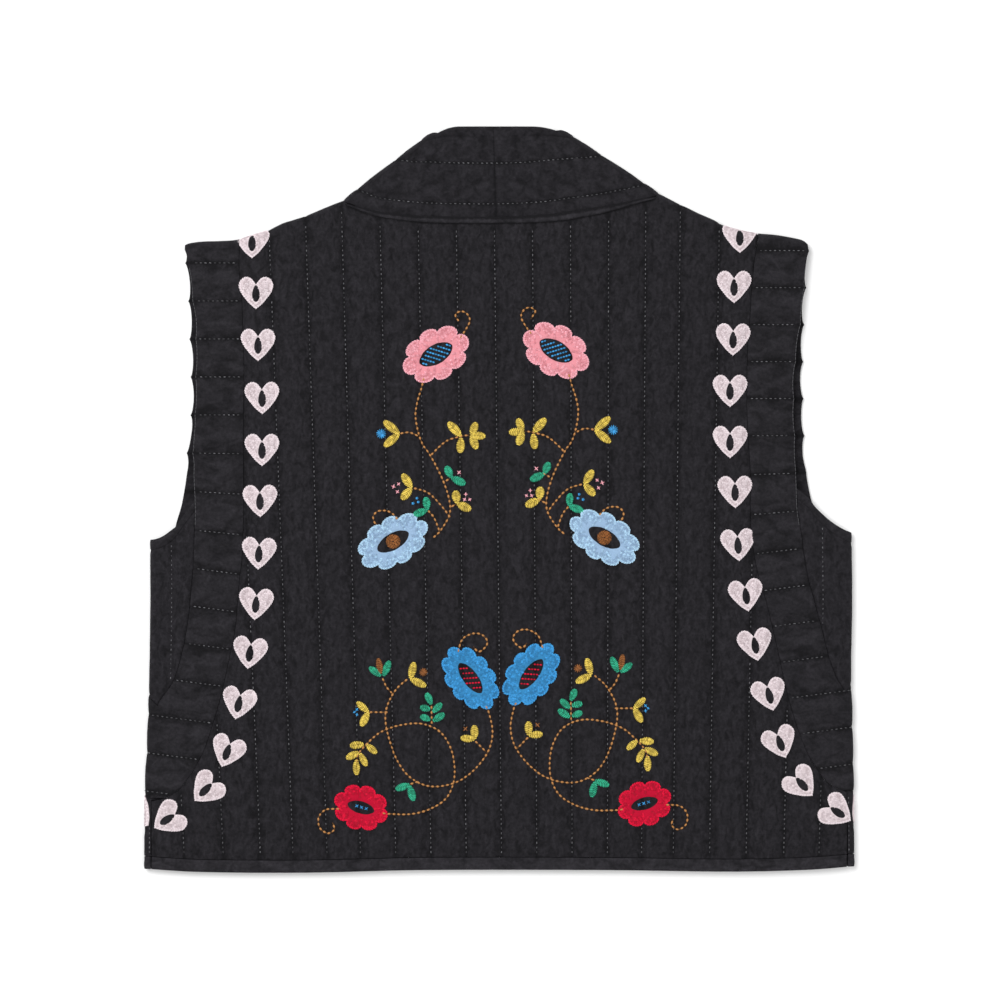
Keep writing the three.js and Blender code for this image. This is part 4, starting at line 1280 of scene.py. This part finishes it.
# each flower: name, thread, distance out, height, turn, length, width, scallops, eye length, eye width
FLOWERS = [
    ("pink_flower", "pink", 46.6, 112.6, 150, 56, 40, 8, 28.4, 14.4),
    ("sky_blue_flower", "sky blue", 82, -32.6, 150, 60, 37.5, 9, 27, 12.4),
    ("blue_flower", "blue", 23.6, -138.6, 53, 56.5, 36.5, 10, 28, 11),
    ("red_flower", "red", 110, -239, 16, 43.5, 35.5, 8, 21, 9),
]
for name, thread, out, height, turn, length, width, scallops, eye_length, eye_width in FLOWERS:
    outline = flower_outline(length, width, scallops)
    eye = eye_outline(eye_length, eye_width)
    fill = chain_fill(outline, eye)
    for side in (left, right):
        p, q = design(side, out, height)
        spot = put(back_spot, p, q, math.radians(turn * side.sign))
        covered["back"].append((p, q, (length + width) / 4 - 1))
        sense = side.sign
        places = []
        for x, y, angle, level in fill:
            swirl = 0.8 * noise.noise(Vector((x * 0.6, y * 0.6, 4))) if level > 1 else 0
            tone = None if level else 0.85
            angle = (angle if sense > 0 else math.pi - angle) + swirl
            places.append(stitch_at(spot, sense * x, y, angle, THREAD_LIFT, (1, 1, 1), tone))
        sew(name + "_" + side.name, chain_link, places, threads[thread])
        shape = (spot, outline, eye) if sense > 0 else (spot, mirrored(outline), mirrored(eye))
        ground(name + "_ground_" + side.name, [shape], grounds[thread])

# The eyes: rows of blue or red stitches, a brown knot, and a few blue crosses.
knot_outline = [(5.6 * math.cos(t), 5.4 * math.sin(t)) for t in evenly(0, 2 * math.pi, 40)[:-1]]
knot_hole = [(x * 0.04, y * 0.04) for x, y in knot_outline]
# each eye: flower, thread, the stitches in it as places and angles, and their length and width
EYES = [
    (FLOWERS[0], "blue", dashes_in(eye_outline(28.4, 14.4), math.radians(-133), 3.2, 2.2), 2.1, 1.5),
    (FLOWERS[2], "red", dashes_in(eye_outline(29, 11.4), math.radians(-57), 3.9, 2.3), 2.1, 1.4),
    (FLOWERS[3], "blue", [(x, 0.3, a, 1) for x in (-4.2, -0.4, 3.4) for a in (0.7, 2.3)], 3.5, 0.8),
]
for flower, thread, stitches, length, width in EYES:
    for side in (left, right):
        p, q = design(side, flower[2], flower[3])
        spot = put(back_spot, p, q, math.radians(flower[4] * side.sign))
        places = []
        for x, y, angle, _ in stitches:
            angle = angle if side is right else math.pi - angle
            places.append(stitch_at(spot, side.sign * x, y, angle, 0.2, (length, width, 0.9)))
        sew(flower[0] + "_eye_" + side.name, strand, places, threads[thread])
for side in (left, right):
    p, q = design(side, FLOWERS[1][2], FLOWERS[1][3])
    spot = put(back_spot, p, q, 0)
    places = [stitch_at(spot, x, y, angle) for x, y, angle, _ in chain_fill(knot_outline, knot_hole, 1.2)]
    sew("sky_blue_flower_eye_" + side.name, chain_link, places, threads["brown"])

# The stems and tendrils are one line of tan stitches, end to end. The leaves are satin stitches on each
# side of a middle line, and small knots and crosses stand for berries.
# each stem: its points from end to end, as distance out and height
STEMS = [
    [(28, 125), (25, 129), (20, 138), (22, 144), (27, 146), (31, 143), (28, 138)],
    [
        (56, 95), (57.5, 89), (62, 74), (63, 62), (59, 45), (52, 34), (43, 16), (38, 0), (38, -12),
        (45, -24), (50, -29),
    ],
    [(61, 49), (68, 52), (76, 51)],
    [(52, 34), (40, 45), (28, 49), (21, 50)],
    [(41, 14), (36, 17)],
    [(66, 9), (54, 5), (44, -5), (38, -13)],
    [(55, -8), (50, -14), (46, -24)],
    [(37, -6), (32, -3)],
    [(78, -16), (81, -12), (86, -9), (93, -9), (97, -13), (96, -18), (93, -20)],
    [
        (33, -119), (32, -115), (29, -108), (21, -104), (14, -105), (10, -110), (12, -115), (17, -118),
        (21, -114),
    ],
    [
        (72, -139), (81, -147), (88, -159), (90, -171), (87, -187), (81, -203), (72, -215), (59, -222),
        (45, -222), (31, -217), (19, -207), (10, -194), (7, -180), (9.5, -166), (12, -160),
    ],
    [
        (94, -243), (88, -244), (71, -244), (56, -240), (44, -232), (38, -220), (37, -206), (40, -192),
        (48, -180), (62, -174), (78, -175), (93, -180), (103, -188), (111, -197), (113, -204),
    ],
    [(92, -138), (89, -145), (85, -150)],
    [(103, -165), (96, -165), (89, -165)],
    [(54, -175), (54, -159)],
    [(21, -187), (16, -192), (12, -196)],
    [(72, -221), (66, -219)],
    [(126, -240), (130, -240), (138, -241), (143, -247), (142, -255), (136, -259), (131, -256), (132, -251)],
]
# each leaf: thread, distance out and height of its foot and of its tip, width
LEAVES = [
    ("yellow", 76, 51, 88, 61, 6.6), ("yellow", 76, 51, 88, 41, 6.6), ("yellow", 28, 49, 38, 60, 7),
    ("yellow", 28, 48, 29, 36, 7), ("yellow", 20, 50, 16, 60, 6.2), ("yellow", 20, 50, 9, 49, 6.2),
    ("yellow", 20, 50, 16, 39, 6.6), ("green", 36, 17, 40, 26, 6.2), ("green", 36, 17, 25, 12, 6.6),
    ("yellow", 67, 9, 74, 20, 6.6), ("yellow", 67, 9, 75, 0, 6.6), ("green", 55, -8, 56, 2, 6.2),
    ("green", 55, -8, 66, -12, 6.2), ("yellow", 32, -3, 33, 7, 7), ("yellow", 32, -3, 21, -8, 7),
    ("brown", 93, -135, 95, -123, 5), ("green", 93, -137, 102, -130, 5.4),
    ("green", 91, -137, 86, -125, 5.8), ("yellow", 70, -139, 67, -126, 6.2),
    ("yellow", 70, -139, 58, -145, 6.2), ("yellow", 107, -190, 118, -191, 6.2),
    ("yellow", 105, -190, 97, -197, 5.4), ("yellow", 111, -196, 121, -201, 5.8),
    ("yellow", 110, -197, 105, -207, 5.4), ("yellow", 113, -202, 113, -214, 5.8),
    ("yellow", 103, -165, 112, -157, 5.4), ("yellow", 103, -165, 109, -176, 6.2),
    ("green", 54, -159, 58, -150, 5.8), ("green", 55, -163, 63, -161, 5.4),
    ("green", 53, -165, 46, -158, 5.4), ("green", 55, -171, 63, -168, 5.4),
    ("green", 53, -172, 44, -166, 5.8), ("yellow", 21, -186, 21, -175, 6.2),
    ("yellow", 21, -186, 32, -185, 5.8), ("green", 72, -221, 83, -225, 5.8),
    ("green", 72, -222, 69, -234, 6.2),
]
# each berry: thread, distance out, height, width
BERRIES = [
    ("blue", 90, 51, 7.6), ("brown", 60, -134, 6.4), ("blue", 63, 1, 2.2), ("blue", 66, -3, 2.4),
    ("blue", 62, -2, 2.2),
]
# each cross: thread, distance out, height, width, turn
CROSSES = [
    ("pink", 30, 21, 4.2, 40), ("pink", 81, 10, 4, 20), ("pink", 77, 12, 3.4, 50), ("pink", 78, 6, 3.6, 35),
    ("pink", 25, 4, 3.4, 0), ("pink", 26, 0, 3.6, 30), ("pink", 22, 0, 3.2, 60), ("blue", 112, -163, 3.2, 40),
    ("blue", 112, -167, 3, 10), ("blue", 114, -165, 2.6, 60), ("brown", 28, -178, 5, 42),
]
STEM_PITCH = 3.9


def running(spot, path, pitch, lift, size, skip=None, loose=0.0, tone=None, start=0.5):
    """Stitches one after another along a path over the cloth, each a little uneven."""
    places = []
    walked = pitch * start
    for (ax, ay), (bx, by) in zip(path, path[1:]):
        length = (spot(bx, by) - spot(ax, ay)).length + 1e-6
        while walked <= length:
            x, y = mix(ax, bx, walked / length), mix(ay, by, walked / length)
            if not (skip and skip(x, y)):
                wander = noise.noise_vector(Vector((x * 1.7, y * 1.7, 5))) * loose
                angle = math.atan2(by - ay, bx - ax) + wander.z
                scale = (size[0] * (1 + wander.x), size[1] * (1 + wander.y), size[2])
                places.append(stitch_at(spot, x, y, angle, lift, scale, tone))
            walked += pitch
        walked -= length
    return places


def leaf_parts(p, q, tip_p, tip_q, width):
    """A leaf's own spot, its outline, its middle line and its satin stitches."""
    length = math.dist((p, q), (tip_p, tip_q))
    spot = put(back_spot, p, q, math.atan2(tip_q - q, tip_p - p))
    outline = []
    for t in evenly(0, 2 * math.pi, 24)[:-1]:
        x = (1 - math.cos(t)) / 2
        high = math.copysign(abs(math.sin(t)) ** 0.8, -math.sin(t))
        outline.append((x * length, width / 2 * high * (0.7 + 0.3 * x)))
    middle = [(clamp(x, length * 0.15, length * 0.85), 0) for x, _ in outline]
    stitches = []
    count = round(length / 1.3)
    for i in range(count):
        share = (i + 0.5) / count
        half = width / 2 * math.sin(math.pi * mix(share, share**0.8, 0.6)) ** 0.6
        reach = math.hypot(half, 0.4 * half) + 0.75
        for sense in (-1, 1):
            at = share * length + 0.2 * half - 0.3, sense * half * 0.46
            tone = 0.4 + 0.6 * noise.cell(Vector((p + i, q, sense)))
            stitches.append(stitch_at(spot, *at, sense * math.atan2(1, 0.4), 0.5, (reach, 1.2, 0.8), tone))
    return spot, outline, middle, stitches


leaf_grounds = {}
for thread in ("yellow", "green", "brown"):
    shades = [[c * share for c in THREAD_COLOURS[thread]] for share in (0.3, 0.5)]
    leaf_grounds[thread] = thread_material(thread + " leaf ground thread", *shades, 0.9)
for side in (left, right):
    stems = []
    for stem in STEMS:
        path = smooth_path([design(side, *point) for point in stem])
        stems += running(back_spot, path, STEM_PITCH, 0.35, (2.6, 1.7, 1.2), None, 0.2, 1.1)
        # dark tan stitches, set lower between the pale ones, are painted shade in the gaps of the stem line
        stems += running(back_spot, path, STEM_PITCH, 0.15, (2.9, 1.2, 1), None, 0.2, -0.5, 1)
    sew("stems_" + side.name, strand, stems, threads["tan"])
    for thread in ("yellow", "green", "brown"):
        shapes, stitches = [], []
        for _, out, height, tip_out, tip_height, width in [leaf for leaf in LEAVES if leaf[0] == thread]:
            parts = leaf_parts(*design(side, out, height), *design(side, tip_out, tip_height), width)
            shapes.append(parts[:3])
            stitches += parts[3]
        sew(thread + "_leaves_" + side.name, strand, stitches, threads[thread])
        ground(thread + "_leaf_ground_" + side.name, shapes, leaf_grounds[thread], 0.2)
    for thread in ("blue", "brown", "pink"):
        places = []
        for _, out, height, width in [berry for berry in BERRIES if berry[0] == thread]:
            spot = put(back_spot, *design(side, out, height), 0)
            count = max(5, round(width * 1.7))
            for i in range(count):
                turn = 2 * math.pi * i / count
                x, y = width * 0.27 * math.cos(turn), width * 0.27 * math.sin(turn)
                places.append(stitch_at(spot, x, y, turn, 0.35, (width * 0.54, 1.1, 0.9)))
        for _, out, height, width, turn in [cross for cross in CROSSES if cross[0] == thread]:
            spot = put(back_spot, *design(side, out, height), math.radians(turn * side.sign))
            places += [stitch_at(spot, 0, 0, angle, 0.2, (width, 1, 0.8)) for angle in (0, math.pi / 2)]
        sew(thread + "_berries_" + side.name, strand, places, threads[thread])

# The quilting stitches: small grey hand stitches along every row, through all the layers.
QUILT_PITCH = 3.65
QUILT_SIZE = (1.95, 1.05, 0.75)
UNDER_SIZE = (1.95, 1.05, 0.4)
quilt_thread = thread_material("grey quilting thread", (0.05, 0.05, 0.054), (0.16, 0.16, 0.17), 0.8)
quilt_stitch = seed("quilting stitch", [(0, 0, 0, 1, 1, 1)], 5, 3)


def clear_of(circles):
    """A reader of whether a place is under the embroidery."""
    return lambda x, y: any(math.dist((x, y), (p, q)) < r for p, q, r in circles)


def quilt(spot, paths, size=QUILT_SIZE, lift=0.12, skip=None):
    places = []
    for path in paths:
        if len(path) > 2:
            places += running(spot, path, QUILT_PITCH, lift, size, skip, 0.3)
    return places


def back_row(row):
    """The places on the back that one row of stitches runs through."""
    path = []
    for y in evenly(hem_seam(0) + 2, 246, 130):
        x = row_x(row, y)
        side = right if x > 0 else left
        y = max(y, hem_seam(x) + 1.5)
        top = side.shoulder(abs(x)) - 3 if abs(x) > side.neck_end else neck_below(x) - 1.5
        reach = side.seam(y) - 2.5 if y > side.bottom else side.silhouette(y) - FOLD_OUT - 5
        if y < top and abs(x) < reach:
            path.append((x, y))
    return path


def front_row(side, row):
    """The same row on a front, as its way round the side fold and its height."""
    path = []
    for y in evenly(hem_seam(0) + 2, 240, 130):
        distance = side.sign * row_x(row, y)
        if distance < collar_seam(y) + 2.5:
            continue
        around = side.around(distance, y)
        reach = side.around(side.seam(y), y) + 2.5 if y > side.bottom else FOLD_HALF_LENGTH + 1
        if around > reach and y < side.shoulder(distance) - 7:
            path.append((side.sign * around, max(y, hem_seam(side.sign * distance) + 1.5)))
    return path


def panel_row(side, row, part):
    """A crosswise row on a side panel: on its back or front part, or all round below the wedge."""
    first, spacing = PANEL_ROWS[side]
    y = first - row * spacing
    reach = side.around(side.seam(y), y) - 2.2
    if y > side.apex + 3:
        ends = (-reach, side.back_edge(y) - 3) if part == "back" else (side.front_edge(y) + 3, reach)
    else:
        ends = (-reach, 0) if part == "back" else (0, reach)
    slope = panel_slope(y)
    arounds = evenly(*ends, 20) if ends[0] < ends[1] else []
    return [(side.sign * a, y + slope * outward(a)) for a in arounds]


def wedge_row(side, around):
    heights = evenly(side.apex, 10, 60)
    within = [y for y in heights if side.back_edge(y) + 1.5 < around < side.front_edge(y) - 1.5]
    top = side.armhole(around) - UNDERARM_BINDING - 1
    return [(side.sign * around, y) for y in within if y < top]


rows = [back_row(n) for n in range(-9, 10)]
places = quilt(back_spot, rows, skip=clear_of(covered["back"]))
sew("quilting_back", quilt_stitch, places, quilt_thread)
for side in (left, right):
    name = "_" + side.name
    rows = [front_row(side, side.sign * n) for n in range(2, 10)]
    places = quilt(front_place(side), rows, UNDER_SIZE, 0, clear_of(covered[side]))
    sew("quilting_front" + name, quilt_stitch, places, quilt_thread)
    places = []
    for part in ("back", "front"):

        def panel_place(p, q, side=side, part=part):
            return panel_spot(side, part, side.sign * p, q)

        rows = [panel_row(side, n, part) for n in range(15)]
        size, lift = (QUILT_SIZE, 0.12) if part == "back" else (UNDER_SIZE, 0)
        places += quilt(panel_place, rows, size, lift)

    def wedge_place(p, q, side=side):
        return wedge_spot(side, side.sign * p, q)

    first, second = WEDGE_ROWS[side]
    places += quilt(wedge_place, [wedge_row(side, first)])
    places += quilt(wedge_place, [wedge_row(side, second)], UNDER_SIZE, 0)
    sew("quilting_side" + name, quilt_stitch, places, quilt_thread)

    def collar_place(p, q, side=side):
        length = side.sign * p
        part, along = "back", length / NECK_LENGTH
        if length > NECK_LENGTH:
            part, along = "fold", max(90 - (length - NECK_LENGTH) / DEGREE_LENGTH, -90)
        if length > FRONT_START:
            part, along = "front", FRONT_START + BAND_TOP - length
        return collar_spot(side, part, along, q / COLLAR_WIDTH, length, q)

    places = []
    for share in COLLAR_ROWS[1:3]:
        on_back = [(side.sign * length, share * COLLAR_WIDTH) for length in evenly(0.5, 119.5, 60)]
        on_front = [(side.sign * length, share * COLLAR_WIDTH) for length in evenly(136, 644, 170)]
        places += quilt(collar_place, [on_back]) + quilt(collar_place, [on_front], UNDER_SIZE, 0)
    foot = hem_seam(side.sign * (side.silhouette(side.bottom) - FOLD_OUT)) + 1.5
    side_row = [(-side.sign * 4.7, y) for y in evenly(foot, side.bottom - 3, 30)]
    places += quilt(front_place(side), [side_row], QUILT_SIZE, 0.05, clear_of(covered[side]))
    sew("quilting_edges" + name, quilt_stitch, places, quilt_thread)

    # a line of grey thread laid along the free edge of each panel at the back of the armhole: a painted
    # highlight on the rolled edge of the cloth
    def edge_place(p, q, side=side):
        return panel_spot(side, "back", side.sign * p, q)

    edge = []
    for y in evenly(-20, 180, 90):
        around = side.back_edge(y)
        edge.append((side.sign * (around - panel_bulge(side, "back", around, y) - 0.35), y))
    places = running(edge_place, edge, 3, 0, (3.3, 0.5, 0.5), None, 0.15, 0.15)
    sew("edging" + name, quilt_stitch, places, quilt_thread)

# The waistcoat lies on a plain white table under soft studio light, seen from straight above.
FRAME_WIDTH = 0.776
CAMERA_HEIGHT = 3.0
FOCUS_HEIGHT = 0.008
SENSOR_WIDTH = 36
white = bpy.data.materials.new("white table")
white.use_nodes = True
set_values(white.node_tree.nodes["Principled BSDF"], {"Base Color": (0.99, 0.99, 0.99, 1), "Roughness": 0.9})
bm = bmesh.new()
bmesh.ops.create_grid(bm, x_segments=1, y_segments=1, size=4)
piece_of("table", bm, white)

world = bpy.data.worlds.new("studio")
world.use_nodes = True
set_values(world.node_tree.nodes["Background"], {"Color": (1, 1, 1, 1), "Strength": 0.55})
bpy.context.scene.world = world
for name, size, watts, place in (("key", 2.0, 62, (-1.2, 1.1, 2.2)), ("fill", 2.4, 24.5, (1.6, -1.2, 2.2))):
    lamp = bpy.data.lights.new(name, "AREA")
    lamp.size = size
    lamp.energy = watts
    light = bpy.data.objects.new(name, lamp)
    light.location = place
    light.rotation_euler = (-Vector(place)).to_track_quat("-Z", "Y").to_euler()
    bpy.context.scene.collection.objects.link(light)

lens = bpy.data.cameras.new("camera")
lens.sensor_width = SENSOR_WIDTH
lens.lens = SENSOR_WIDTH * (CAMERA_HEIGHT - FOCUS_HEIGHT) / FRAME_WIDTH
camera = bpy.data.objects.new("camera", lens)
camera.location = (0.00054, -0.00039, CAMERA_HEIGHT)
bpy.context.scene.collection.objects.link(camera)
bpy.context.scene.camera = camera
bpy.context.scene.view_settings.view_transform = "Standard"
